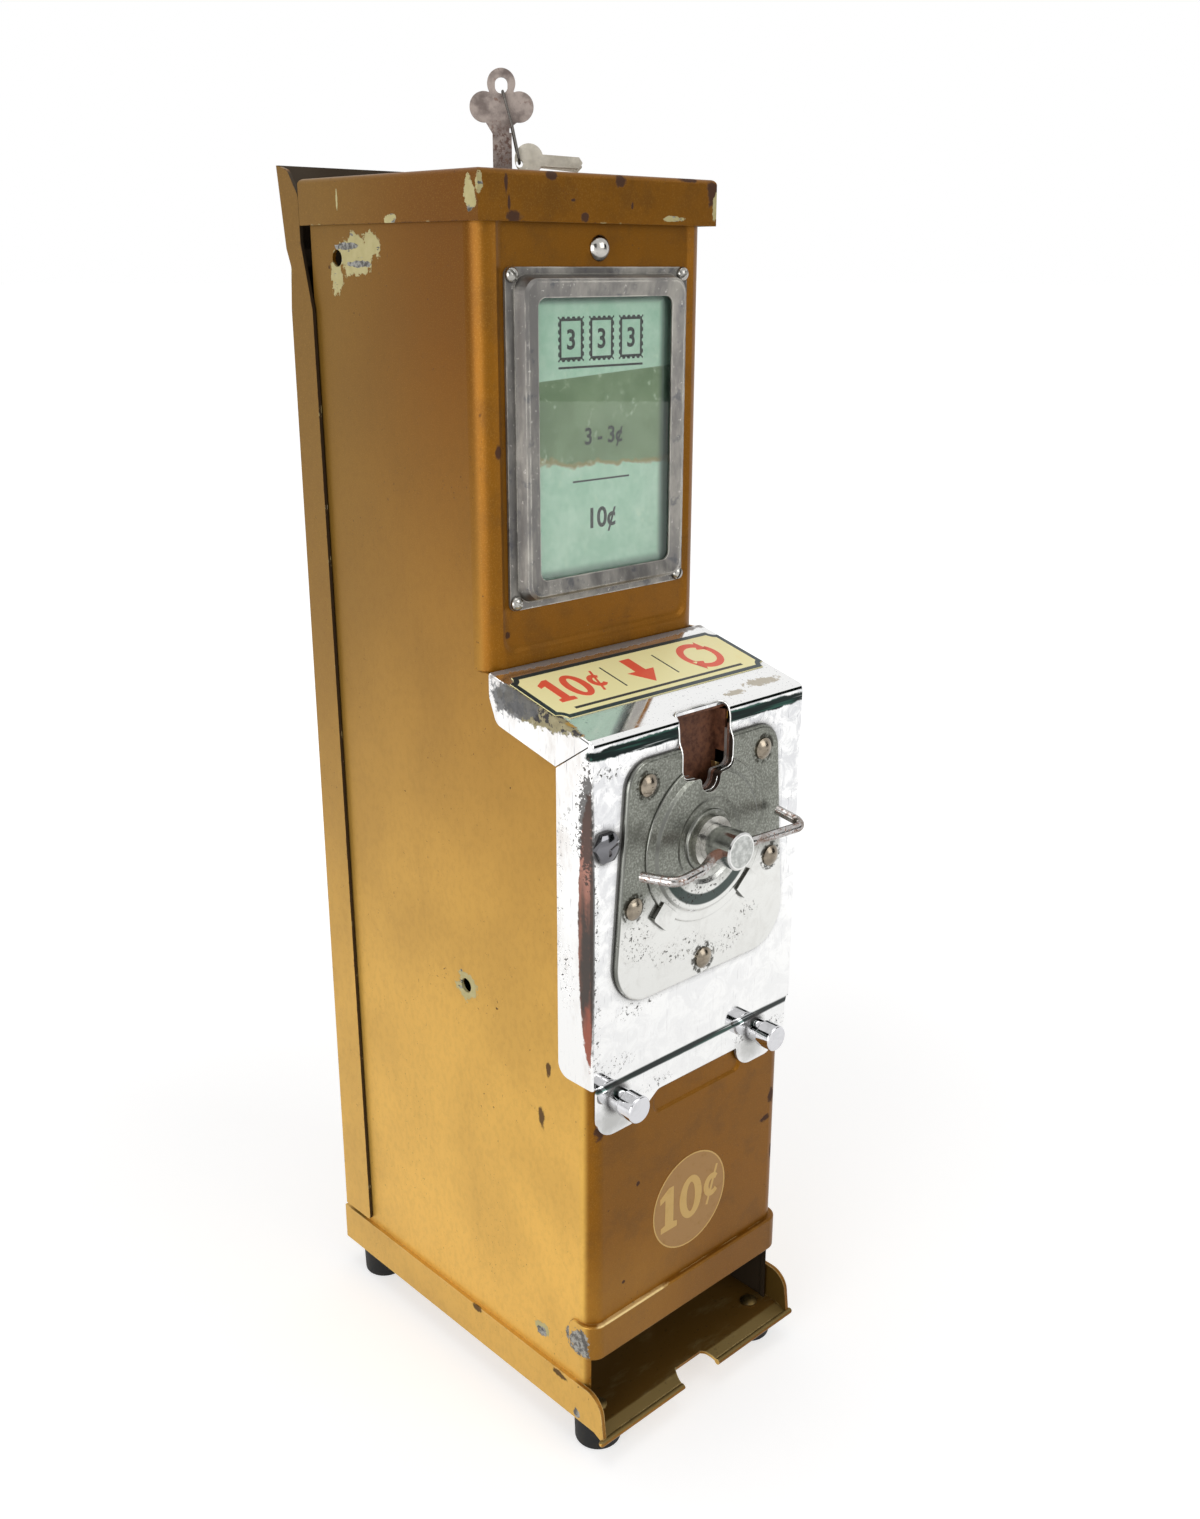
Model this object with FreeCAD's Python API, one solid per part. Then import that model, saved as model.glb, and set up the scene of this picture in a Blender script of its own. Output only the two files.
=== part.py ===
"""Counter-top vending machine for stamp folders, as separate pieces.

Lengths are millimetres. X runs left to right as a buyer sees the machine, Y runs from the
front to the rear and Z is up. While the pieces are drawn, y = 0 is the front of the chrome
cover. At the end everything is moved along Y, so that the origin lies on the counter under
the middle of the whole machine.
"""
import FreeCAD, Part
import math
import os

V = FreeCAD.Vector

# Case: a folded steel wrap with a deep lower part and a set-back upper part
CASE_WIDTH = 100.0
CASE_REAR = 141.8
CASE_TOP = 439.0
CASE_SHEET = 1.2
HALF_CASE = CASE_WIDTH / 2
LOWER_CORNER = 6.0
UPPER_FRONT = 50.4
UPPER_CORNER = 8.0
PANEL_OVERLAP = 12.0

# The handle shaft's height places the cover, the face plate and the mechanism
SHAFT_HEIGHT = 229.0

# Chrome coin cover with a strip of two ears under it
COVER_SHEET = 1.0
COVER_JOGGLE = 0.7
SLOPE_FRONT_HEIGHT = SHAFT_HEIGHT + 44.3
SLOPE_ANGLE = 14.5
COVER_REAR = UPPER_FRONT - 0.8
COVER_BOTTOM = SHAFT_HEIGHT - 77.5
COVER_FLANGE = 16.8
SLOPE_FLANGE = 15.2
COVER_BEND = 2.6
JOGGLE_TOP = COVER_BOTTOM + 0.6
JOGGLE_BOTTOM = JOGGLE_TOP - 3.6
STRIP_RIGHT = HALF_CASE - 0.6
STRIP_BOTTOM = COVER_BOTTOM - 12.1
SEAM_WIDTH = 0.4
STUD_HEIGHT = STRIP_BOTTOM + 5.0
STUD_SIDES = (11.1 - HALF_CASE, HALF_CASE - 18.5)
EAR_BOTTOM = STUD_HEIGHT - 13.6
EAR_STEEP_SIDE = 9.2
EAR_FLAT_END = 8.5
EAR_SLOPE_END = 20.3
STUD_NECK = 4.3
STUD_NECK_LENGTH = 4.2
STUD_BARREL = 4.9
STUD_LENGTH = 10.8
STUD_SHANK_RADIUS = 2.6

# Recess in the upper front panel and pressed ledge in the lower one
RECESS_DEPTH = 1.0
RECESS_ROLL = 4.4
RECESS_HALF_WIDTH = HALF_CASE - 5.0
RECESS_BOTTOM = SLOPE_FRONT_HEIGHT + 15.7
RECESS_TOP = CASE_TOP - 8.0
RECESS_CORNER = 6.0
LEDGE_LEFT = -20.0
LEDGE_RIGHT = 26.0
LEDGE_TOP = STRIP_BOTTOM - 0.6
LEDGE_BOTTOM = LEDGE_TOP - 10.2
LEDGE_DEPTH = 0.8
LEDGE_ROLL = 1.4

# Feet and base tray
FOOT_HEIGHT = 12.0
FOOT_RADIUS = 8.8
FOOT_SIDE = HALF_CASE - 8.0
FOOT_FRONT = 6.4
FOOT_REAR = CASE_REAR - 0.8
FOOT_SHANK_RADIUS = 2.0
FOOT_HEAD_RADIUS = 3.4
FOOT_HEAD_HEIGHT = 1.8
FOOT_WELL_RADIUS = 4.2
FOOT_SEAT = FOOT_HEIGHT - 7.0
BASE_SHEET = 1.2
BASE_LIP_SHEET = 1.6
BASE_LIP_TOP = FOOT_HEIGHT + 16.0
BASE_REAR = CASE_REAR + 13.6
FLOOR_TOP = FOOT_HEIGHT + BASE_SHEET
LIP_FRONT = -6.8
LIP_NOSE = 8.0
LIP_LEAN = 2.2
TRAY_CREASE = -1.6
TRAY_FLAT = 1.6
TRAY_RIM = -6.6
TRAY_RIM_HALF = HALF_CASE + 3.3
HEM_RADIUS = 1.2
HEM_HEIGHT = FOOT_HEIGHT - 1.4
THUMB_RADIUS = 9.5
THUMB_PLACE = -0.5

# Delivery mouth and the rail over it
MOUTH_TOP = FOOT_HEIGHT + 28.1
MOUTH_HALF = HALF_CASE - 1.8
RAIL_TOP = MOUTH_TOP + 14.4
RAIL_SHEET = 1.2
RAIL_FRONT = -0.2
RAIL_RETURN = 12.5

# Slope label
LABEL_HALF = HALF_CASE - 0.4
LABEL_FRONT = 15.3
LABEL_REAR = COVER_REAR - 6.0
LABEL_THICKNESS = 0.3
LABEL_NOTCH = 3.2

# Coin slot
SLOT_HALF = 12.3
SLOT_SHOULDER = SHAFT_HEIGHT + 23.2
NOTCH_HALF = 4.6
NOTCH_BOTTOM = SHAFT_HEIGHT + 17.3
SLOT_BITE = 3.2

# Cast face plate, centred on the handle shaft
PLATE_THICKNESS = 1.8
PLATE_EDGE = 1.1
PLATE_TOP = SHAFT_HEIGHT + 34.5
PLATE_BOTTOM = SHAFT_HEIGHT - 50.5
PLATE_TOP_HALF = HALF_CASE - 14.0
PLATE_BOTTOM_HALF = HALF_CASE - 7.0
PLATE_TOP_CORNER = 10.0
PLATE_BOTTOM_CORNER = 15.0
BOSS_RADIUS = 29.0
BOSS_STEP = 0.8
BOSS_STEP_RADIUS = BOSS_RADIUS - 4.7
ANNULUS_RISE = 0.9
DISH_RADIUS = 15.5
BUSH_RADIUS = 9.0
BUSH_FRONT = -5.5
LUG_RADIUS = BOSS_RADIUS + 5.0
LUG_RISE = 1.7
LUG_ANGLE = 47.0
LUG_HALF_ANGLE = 9.5
RIVET_RADIUS = 3.8
RIVET_HEIGHT = 2.1
RIVET_SHANK = 1.8
RIVET_HIGH_SIDE = PLATE_TOP_HALF - 8.0
RIVET_LOW_SIDE = PLATE_BOTTOM_HALF - 9.0
RIVETS = [(-RIVET_HIGH_SIDE, PLATE_TOP - 8.5), (RIVET_HIGH_SIDE, PLATE_TOP - 8.5),
          (RIVET_LOW_SIDE, SHAFT_HEIGHT - 15.4), (-RIVET_LOW_SIDE, SHAFT_HEIGHT - 15.4),
          (0.0, PLATE_BOTTOM + 6.4)]
SIDE_BOLT_PLACE = (4.7 - HALF_CASE, SHAFT_HEIGHT + 9.0)
SIDE_BOLT_RADIUS = 5.4
SIDE_BOLT_HEIGHT = 3.0
SIDE_BOLT_SHANK = 2.5

# Handle
SHAFT_RADIUS = 6.6
SHAFT_FRONT = -18.0
ROD_RADIUS = 1.7
ROD_PLACE = SHAFT_FRONT + 4.2
ROD_GRIP = -20.8
ROD_LEFT = -BOSS_RADIUS - 9.0
ROD_RIGHT = BOSS_RADIUS + 5.8
ROD_END = -5.0
RUNNING_FIT = 0.05

# Window bezel
WINDOW_HALF = HALF_CASE - 20.0
WINDOW_BOTTOM = RECESS_BOTTOM + 24.9
WINDOW_TOP = RECESS_TOP - 27.9
BEZEL_FLANGE = 3.2
BEZEL_FOOT = 7.2
BEZEL_HALF = WINDOW_HALF + BEZEL_FOOT + BEZEL_FLANGE
BEZEL_BOTTOM = WINDOW_BOTTOM - 9.2
BEZEL_TOP = WINDOW_TOP + 9.2
BEZEL_RAISE = 5.6
BEZEL_DIP = 0.75
BEZEL_SHEET = 0.9
BEZEL_SCREW_SIDE = BEZEL_HALF - 2.5
BEZEL_SCREW_HEIGHTS = (BEZEL_BOTTOM + 2.5, BEZEL_TOP - 2.3)
BEZEL_SCREW_RADIUS = 2.4
BEZEL_SHANK_RADIUS = 1.2
BEZEL_SHANK_END = 3.5
GLASS_THICKNESS = 2.0
CARD_THICKNESS = 0.5
CAP_SCREW_HEIGHT = CASE_TOP - 21.0
CAP_SCREW_RADIUS = 4.1
CAP_SHANK_RADIUS = 1.9

# Top cap
CAP_OVERHANG = 2.1
CAP_REAR = CASE_REAR + 3.3
CAP_SKIRT = 14.8
CAP_EDGE_RADIUS = 1.8
BRACKET_HALF = 14.0
BRACKET_DEPTH = 14.0
BRACKET_BOTTOM = CAP_SCREW_HEIGHT - 7.0

# Rear door: a bead over the base lip is its hinge, and the lock holds it at the top
DOOR_REAR = BASE_REAR - 1.6
DOOR_CREASE = CASE_TOP - 27.0
DOOR_TOP = CASE_TOP + 6.0
DOOR_FLARE = 4.4
DOOR_FLANGE_BOTTOM = CASE_REAR - 5.4
DOOR_FLANGE_TOP = CASE_REAR - 1.2
DOOR_FOOT_HALF = HALF_CASE - 3.0
DOOR_FOOT_BOTTOM = FLOOR_TOP + 2.8
DOOR_BEAD = 1.2
DOOR_HINGE = (DOOR_REAR - CASE_SHEET / 2, BASE_LIP_TOP + DOOR_BEAD)
HOOK_HALF = 8.0
HOOK_FRONT = CASE_REAR - 11.8
HOOK_HEIGHT = CASE_TOP - 28.5
HOOK_TOP = HOOK_HEIGHT + 8.0
HOOK_RISE = 2.4

# Lock in the cap
LOCK_PLACE = CASE_REAR - 42.8
LOCK_RADIUS = 9.4
PLUG_RADIUS = 6.0
LOCK_DEPTH = 16.0
LOCK_FLANGE = 1.6
NUT_RADIUS = LOCK_RADIUS + 3.6
NUT_THICKNESS = 4.0
CAM_REACH = HOOK_FRONT - LOCK_PLACE + 6.4
CAM_HALF = 7.0
CAM_TIP_HALF = 5.0
CAM_THICKNESS = 2.0
CAM_LUG_HALF = 3.5
CAM_LUG_DEPTH = 3.0

# Keys, drawn flat and turned into the lock
KEY_TURN = -38.5
KEY_HALF = 3.2
KEY_THICKNESS = 1.8
KEY_GAP = 0.12
KEY_TIP = CASE_TOP - 13.0
KEY_RISE = 23.9
KEY_NOTCH_PITCH = 2.9
BOW_HEIGHT = CASE_TOP + KEY_RISE
BOW_HALF = 10.7
BOW_LOBE_PLACE = 5.9
BOW_TOP = BOW_HEIGHT + 11.9
BOW_CROWN = 4.7
EYE_BOTTOM = BOW_HEIGHT + 4.1
WIRE_RADIUS = 0.45
LOOP_HALF = 3.4
LOOP_FOOT = (5.7, CASE_TOP + 6.4)
SPARE_THICKNESS = 1.6
SPARE_GAP = 0.2
SPARE_BOW = 4.8
SPARE_LENGTH = 21.4

# Side holes for fixing machines side by side
GANG_HOLES = [(CASE_REAR - 15.3, CASE_TOP - 24.2), (UPPER_FRONT + 17.4, COVER_BOTTOM + 13.9)]
GANG_RADIUS = 2.75

# Mechanism behind the face plate
FRAME_SHEET = 1.2
FRAME_HALF = PLATE_BOTTOM_HALF - 5.0
FRAME_BOTTOM = SHAFT_HEIGHT - 55.0
FRAME_TOP = SHAFT_HEIGHT + 36.0
FRAME_REAR = UPPER_FRONT + 3.0
OPENING_HALF = FRAME_HALF + 2.0
OPENING_BOTTOM = FRAME_BOTTOM - 14.0
OPENING_TOP = FRAME_TOP + 3.0
SHAFT_REAR = FRAME_REAR + 2.0
WINDOW_GAP = 0.6
WHEEL_FRONT = 3.2
WHEEL_RADIUS = 26.0
WHEEL_HUB = WHEEL_RADIUS - 14.0
WHEEL_DEPTH = 9.0
WHEEL_TOP = SHAFT_HEIGHT + WHEEL_RADIUS
COIN_RADIUS = 8.95
COIN_THICKNESS = 1.9
CUP_BACK = 7.0
CUP_SHEET = 0.9
GEAR_MODULE = 1.5
GEAR_TEETH = 24
PITCH_RADIUS = GEAR_MODULE * GEAR_TEETH / 2
GEAR_FRONT = FRAME_REAR - 9.4
GEAR_WIDTH = 6.0
GEAR_BACKLASH = 0.04
GEAR_HOLE_RING = PITCH_RADIUS * 0.7
GEAR_HOLE_RADIUS = 2.1
PRESSURE_ANGLE = math.radians(20)
RACK_LEFT = 4.0 - HALF_CASE
RACK_RIGHT = 7.0
RACK_TOP = SHAFT_HEIGHT + PITCH_RADIUS + 5.5
RACK_TIP = SHAFT_HEIGHT + PITCH_RADIUS - GEAR_MODULE
ARM_LEFT = 3.5 - HALF_CASE
ARM_WIDTH = 4.2
ARM_DEPTH = 3.0
RATCHET_TEETH = 18
RATCHET_RADIUS = 20.0
RATCHET_DEPTH = 2.6
RATCHET_WIDTH = 3.0
RATCHET_FRONT = GEAR_FRONT - 16.0
PAWL_PIVOT = (WHEEL_RADIUS + 1.0, SHAFT_HEIGHT + 10.0)
PAWL_PIN_RADIUS = 2.0
PAWL_HUB = 4.2
PAWL_TIP_ANGLE = -14.0

# Folder magazine, ejector and chutes
SHELF_TOP = RACK_TOP + 2.7
MAGAZINE_LEFT = 8.8 - HALF_CASE
MAGAZINE_RIGHT = -0.8
MAGAZINE_FRONT = FRAME_REAR + 2.6
MAGAZINE_DEPTH = 62.0
MAGAZINE_REAR = MAGAZINE_FRONT + MAGAZINE_DEPTH
MAGAZINE_DROP = 34.0
MAGAZINE_TOP = CASE_TOP - MAGAZINE_DROP
MAGAZINE_SHEET = 0.8
STAY_SHARES = (0.23, 0.83)
STAY_HEIGHT = 2.0
BLADE_HEIGHT = 1.3
BLADE_WIDTH = 6.0
BLADE_RIGHT = MAGAZINE_LEFT - 0.2
STEM_PLACE = MAGAZINE_FRONT + MAGAZINE_DEPTH / 2
STEM_HALF = 1.6
TAB_SLOT_HALF = 6.0
TAB_SLOT_BOTTOM = SHELF_TOP + 6.8
TAB_SLOT_CORNER = 1.0
WEIGHT_GAP = 0.8
WEIGHT_HEIGHT = 12.0
CHUTE_SHEET = 0.8
CHUTE_LEFT = 2.0
CHUTE_MIDDLE = 16.0
CHUTE_DEPTH = 9.0
CHUTE_NOSE = 24.0
CHUTE_RUN = 44.0
CHUTE_REAR_BEND = 30.0
CHUTE_FLOOR_BEND = 14.0
CHUTE_FRONT_BEND = 20.0
CHUTE_NOSE_RISE = 16.8
FUNNEL_LEFT = -14.0
FUNNEL_RIGHT = 30.0
FUNNEL_BRIM = 8.0
CASH_TOP = FLOOR_TOP + 64.8
CASH_FRONT = 30.0
CASH_REAR = CASE_REAR - 7.8
CASH_CORNER = 4.0
CHUTE_TURN = CASH_TOP + 40.0
FUNNEL_NECK = CHUTE_TURN + 20.0

# Clearances
SHEET_GAP = 0.3
HOLE_GAP = 0.15


def on_plane(plane, u, v, w):
    """Point u, v in a plan ("top"), front or side view, at distance w along the third axis."""
    if plane == "top":
        return V(u, v, w)
    if plane == "front":
        return V(u, w, v)
    return V(w, u, v)


def corner_arc(before, at, after, radius):
    """Start, middle and end of the arc that rounds the corner at a point."""
    to_before = (before - at).normalize()
    to_after = (after - at).normalize()
    half_angle = to_before.getAngle(to_after) / 2
    centre = at + (to_before + to_after).normalize() * (radius / math.sin(half_angle))
    reach = radius / math.tan(half_angle)
    middle = centre + (at - centre).normalize() * radius
    return at + to_before * reach, middle, at + to_after * reach


def rounded_path(corners, closed):
    """Wire through (point, radius) corners; a radius of 0 leaves the corner sharp."""
    count = len(corners)
    stops = []
    for index, (point, radius) in enumerate(corners):
        inner = closed or 0 < index < count - 1
        if radius > 0 and inner:
            before = corners[index - 1][0]
            after = corners[(index + 1) % count][0]
            stops.append(corner_arc(before, point, after, radius))
        else:
            stops.append((point, None, point))
    edges = []
    for index, (start, middle, end) in enumerate(stops):
        if middle is not None:
            edges.append(Part.Arc(start, middle, end).toShape())
        if closed or index < count - 1:
            following = stops[(index + 1) % count][0]
            if (following - end).Length > 1e-6:
                edges.append(Part.LineSegment(end, following).toShape())
    return Part.Wire(edges)


def outline(plane, points, offset=0.0):
    """Closed wire through (u, v) or (u, v, corner radius) points of a view."""
    corners = []
    for point in points:
        radius = point[2] if len(point) > 2 else 0.0
        corners.append((on_plane(plane, point[0], point[1], offset), radius))
    return rounded_path(corners, True)


def slab(plane, points, start, end):
    """Plate between two distances, with the outline given in a view."""
    face = Part.Face(outline(plane, points, start))
    return face.extrude(on_plane(plane, 0, 0, end - start))


def rectangle(u_low, u_high, v_low, v_high, radius=0.0):
    return [(u_low, v_low, radius), (u_high, v_low, radius),
            (u_high, v_high, radius), (u_low, v_high, radius)]


def box(x_low, x_high, y_low, y_high, z_low, z_high):
    return Part.makeBox(x_high - x_low, y_high - y_low, z_high - z_low, V(x_low, y_low, z_low))


def rod(plane, u, v, radius, start, end):
    """Round bar along the axis that a view looks along."""
    return Part.makeCylinder(radius, end - start, on_plane(plane, u, v, start),
                             on_plane(plane, 0, 0, 1))


def tube(plane, u, v, outer, inner, start, end):
    return rod(plane, u, v, outer, start, end).cut(rod(plane, u, v, inner, start, end))


def turned(profile, base, direction):
    """Solid of revolution from (radius, height[, corner radius]) points about a base point."""
    face = Part.Face(outline("front", profile))
    solid = face.revolve(V(0, 0, 0), V(0, 0, 1), 360)
    solid.Placement = FreeCAD.Placement(base, FreeCAD.Rotation(V(0, 0, 1), direction))
    return solid


def domed_head(base, direction, radius, height, edge=0.6):
    """Low rounded head of a rivet or screw, standing on its base point."""
    face_height = height - edge
    crown = (radius ** 2 + face_height ** 2) / (2 * face_height)
    ball = Part.makeSphere(crown, V(0, 0, height - crown))
    blank = Part.makeCylinder(radius, height, V(0, 0, 0))
    head = ball.common(blank)
    head.Placement = FreeCAD.Placement(base, FreeCAD.Rotation(V(0, 0, 1), direction))
    return head


def mirrored(shape):
    return shape.mirror(V(0, 0, 0), V(1, 0, 0))


def joined(shapes):
    result = shapes[0]
    for shape in shapes[1:]:
        result = result.fuse(shape)
    return result.removeSplitter()


def group(shapes):
    """Separate solids that share one node."""
    return Part.makeCompound(shapes)


# ------------------------------------------------------------------ case, base and feet

LOWER_FRONT = COVER_SHEET + COVER_JOGGLE
SLOPE = math.tan(math.radians(SLOPE_ANGLE))
SLOPE_COSINE = math.cos(math.radians(SLOPE_ANGLE))
RECESS_FLOOR = UPPER_FRONT + RECESS_DEPTH


def slope_height(y, below=0.0):
    """Height at y of the cover's sloping top, or of a surface that far under it."""
    return SLOPE_FRONT_HEIGHT + y * SLOPE - below / SLOPE_COSINE


UPPER_START = slope_height(UPPER_FRONT, COVER_SHEET)


def wrap_plan(front, half, radius, sheet, rear):
    """Plan of a sheet folded round the front and both sides, open at the rear."""
    inside = half - sheet
    return [(-half, rear), (-half, front, radius), (half, front, radius), (half, rear),
            (inside, rear), (inside, front + sheet, radius - sheet),
            (-inside, front + sheet, radius - sheet), (-inside, rear)]


def pressed_pocket(u_low, u_high, v_low, v_high, radius, face, depth, roll):
    """Shallow pocket with soft S-shaped walls, pressed into a front panel."""
    sections = []
    for inset, share in ((0.0, 0.0), (0.15, 0.04), (0.35, 0.22), (0.65, 0.78), (0.85, 0.96),
                         (1.0, 1.0)):
        ring = rectangle(u_low + roll * inset, u_high - roll * inset, v_low + roll * inset,
                         v_high - roll * inset, radius - 0.5 * roll * inset)
        sections.append(outline("front", ring, face + depth * share))
    return Part.makeLoft(sections, True, True)


def gang_bores():
    """Through holes in both side walls."""
    bores = [rod("side", y, z, GANG_RADIUS, -HALF_CASE - 1, HALF_CASE + 1)
             for y, z in GANG_HOLES]
    return group(bores)


def case_shell():
    lower = slab("top", wrap_plan(LOWER_FRONT, HALF_CASE, LOWER_CORNER, CASE_SHEET, CASE_REAR),
                 FLOOR_TOP, CASE_TOP)
    corner_end = UPPER_FRONT + UPPER_CORNER
    bend_foot = SLOPE_FRONT_HEIGHT - COVER_BEND
    bend_back = LOWER_FRONT + CASE_SHEET
    above_cover = [(-1, bend_foot), (bend_back, bend_foot),
                   (bend_back, slope_height(bend_back, COVER_SHEET)), (UPPER_FRONT, UPPER_START),
                   (corner_end, UPPER_START), (corner_end, CASE_TOP + 1), (-1, CASE_TOP + 1)]
    lower = lower.cut(slab("side", above_cover, -HALF_CASE - 1, HALF_CASE + 1))
    upper = slab("top", wrap_plan(UPPER_FRONT, HALF_CASE, UPPER_CORNER, CASE_SHEET, CASE_REAR),
                 UPPER_START - PANEL_OVERLAP, CASE_TOP)
    inset = RECESS_ROLL + CASE_SHEET
    backing = box(-RECESS_HALF_WIDTH + inset, RECESS_HALF_WIDTH - inset,
                  UPPER_FRONT + CASE_SHEET, RECESS_FLOOR + CASE_SHEET,
                  RECESS_BOTTOM + inset, CASE_TOP)
    shell = joined([lower, upper, backing])
    shell = shell.cut(pressed_pocket(-RECESS_HALF_WIDTH, RECESS_HALF_WIDTH, RECESS_BOTTOM,
                                     RECESS_TOP, RECESS_CORNER, UPPER_FRONT, RECESS_DEPTH,
                                     RECESS_ROLL))
    shell = shell.cut(pressed_pocket(LEDGE_LEFT, LEDGE_RIGHT, LEDGE_BOTTOM, LEDGE_TOP, 3.0,
                                     LOWER_FRONT, LEDGE_DEPTH, LEDGE_ROLL))
    mouth = box(-MOUTH_HALF, MOUTH_HALF, 0, LOWER_FRONT + LOWER_CORNER,
                FLOOR_TOP - 1, MOUTH_TOP + RAIL_SHEET)
    mechanism_opening = slab("front", rectangle(-OPENING_HALF, OPENING_HALF, OPENING_BOTTOM,
                                                OPENING_TOP, 4.0), 0, bend_back + 0.5)
    cup_opening = box(-SLOT_HALF - CUP_SHEET, SLOT_HALF + CUP_SHEET, 0, bend_back,
                      OPENING_TOP - 1, CASE_TOP)
    shell = shell.cut(mouth).cut(mechanism_opening).cut(cup_opening).cut(gang_bores())
    for x, z, radius in panel_holes():
        shell = shell.cut(rod("front", x, z, radius, UPPER_FRONT, RECESS_FLOOR + 3))
    for x, z, radius in cover_holes():
        shell = shell.cut(rod("front", x, z, radius, 0, LOWER_FRONT + LOWER_CORNER))
    return shell


def bezel_screw_places():
    return [(side * BEZEL_SCREW_SIDE, height)
            for height in BEZEL_SCREW_HEIGHTS for side in (-1, 1)]


def panel_holes():
    """Holes in the upper front panel: four bezel screws and the cap screw."""
    holes = [(x, z, BEZEL_SHANK_RADIUS + HOLE_GAP) for x, z in bezel_screw_places()]
    holes.append((0.0, CAP_SCREW_HEIGHT, CAP_SHANK_RADIUS + HOLE_GAP))
    return holes


def cover_holes():
    """Holes that the cover and the lower front panel share: two studs and the side bolt."""
    holes = [(x, STUD_HEIGHT, STUD_SHANK_RADIUS + HOLE_GAP) for x in STUD_SIDES]
    holes.append(SIDE_BOLT_PLACE + (SIDE_BOLT_SHANK + HOLE_GAP,))
    return holes


def foot_places():
    return {"front_left": (-FOOT_SIDE, FOOT_FRONT), "front_right": (FOOT_SIDE, FOOT_FRONT),
            "rear_left": (-FOOT_SIDE, FOOT_REAR), "rear_right": (FOOT_SIDE, FOOT_REAR)}


def delivery_lip():
    """Lip that slopes down in front of the floor to a rolled hem, with a thumb notch."""
    half = HALF_CASE + BASE_LIP_SHEET
    behind = TRAY_CREASE + TRAY_FLAT
    middle = BASE_SHEET / 2
    section = [(behind, FOOT_HEIGHT), (TRAY_CREASE, FOOT_HEIGHT, 2.0),
               (TRAY_RIM, HEM_HEIGHT - middle), (TRAY_RIM, HEM_HEIGHT + middle),
               (TRAY_CREASE, FLOOR_TOP, 2.0), (behind, FLOOR_TOP)]
    slope = slab("side", section, -half, half)
    reach = TRAY_RIM_HALF - HEM_RADIUS
    hem = rod("side", TRAY_RIM, HEM_HEIGHT, HEM_RADIUS, -reach, reach)
    ends = [Part.makeSphere(HEM_RADIUS, V(side * reach, TRAY_RIM, HEM_HEIGHT))
            for side in (-1, 1)]
    notch = rod("top", THUMB_PLACE, TRAY_RIM, THUMB_RADIUS, 0, BASE_LIP_TOP)
    return joined([slope, hem] + ends).cut(notch)


def base_tray():
    half = HALF_CASE + BASE_LIP_SHEET
    floor = box(-half, half, TRAY_CREASE + TRAY_FLAT, BASE_REAR, FOOT_HEIGHT, FLOOR_TOP)
    lip_view = [(TRAY_CREASE, FOOT_HEIGHT), (BASE_REAR, FOOT_HEIGHT), (BASE_REAR, BASE_LIP_TOP),
                (LIP_FRONT + LIP_LEAN, BASE_LIP_TOP, LIP_NOSE),
                (LIP_FRONT, HEM_HEIGHT - BASE_SHEET / 2)]
    lips = [slab("side", lip_view, HALF_CASE, half), slab("side", lip_view, -half, -HALF_CASE)]
    rear = box(-half, half, BASE_REAR - BASE_SHEET, BASE_REAR, FOOT_HEIGHT, BASE_LIP_TOP)
    tray = joined([floor, delivery_lip(), rear] + lips)
    for x, y in foot_places().values():
        tray = tray.cut(rod("top", x, y, FOOT_SHANK_RADIUS, 0, BASE_LIP_TOP))
    return tray


def rubber_foot(x, y):
    profile = [(FOOT_SHANK_RADIUS + RUNNING_FIT, FOOT_HEIGHT),
               (FOOT_SHANK_RADIUS + RUNNING_FIT, FOOT_SEAT),
               (FOOT_WELL_RADIUS, FOOT_SEAT), (FOOT_WELL_RADIUS, 0),
               (FOOT_RADIUS - 0.3, 0, 1.0), (FOOT_RADIUS, FOOT_HEIGHT - 1.4),
               (FOOT_RADIUS - 0.8, FOOT_HEIGHT)]
    return turned(profile, V(x, y, 0), V(0, 0, 1))


def foot_screw(x, y):
    """Screw with a domed head on the tray's floor and a round nut in the foot's well."""
    nut_radius = FOOT_WELL_RADIUS - 0.6
    nut_bottom = FOOT_SEAT - 2.4
    profile = [(0, nut_bottom - 1), (FOOT_SHANK_RADIUS, nut_bottom - 1),
               (FOOT_SHANK_RADIUS, nut_bottom), (nut_radius, nut_bottom, 0.5),
               (nut_radius, FOOT_SEAT), (FOOT_SHANK_RADIUS, FOOT_SEAT),
               (FOOT_SHANK_RADIUS, FLOOR_TOP + 0.5), (0, FLOOR_TOP + 0.5)]
    head = domed_head(V(x, y, FLOOR_TOP), V(0, 0, 1), FOOT_HEAD_RADIUS, FOOT_HEAD_HEIGHT)
    return joined([turned(profile, V(x, y, 0), V(0, 0, 1)), head])


def front_rail():
    outside = HALF_CASE + RAIL_SHEET
    plan = [(-outside, RAIL_RETURN), (-outside, RAIL_FRONT, LOWER_CORNER),
            (outside, RAIL_FRONT, LOWER_CORNER), (outside, RAIL_RETURN),
            (HALF_CASE, RAIL_RETURN), (HALF_CASE, LOWER_FRONT, LOWER_CORNER),
            (-HALF_CASE, LOWER_FRONT, LOWER_CORNER), (-HALF_CASE, RAIL_RETURN)]
    rail = slab("top", plan, MOUTH_TOP, RAIL_TOP)
    ends = [(RAIL_FRONT - 1, MOUTH_TOP), (RAIL_RETURN, MOUTH_TOP, 2.5),
            (RAIL_RETURN, RAIL_TOP, 4.5), (RAIL_FRONT - 1, RAIL_TOP)]
    rail = rail.common(slab("side", ends, -outside, outside))
    rolled = [edge for edge in rail.Edges
              if edge.BoundBox.ZMin > RAIL_TOP - 0.01 and edge.BoundBox.YMin < RAIL_FRONT + 0.01]
    return rail.makeFillet(RAIL_SHEET * 0.7, rolled)


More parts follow.
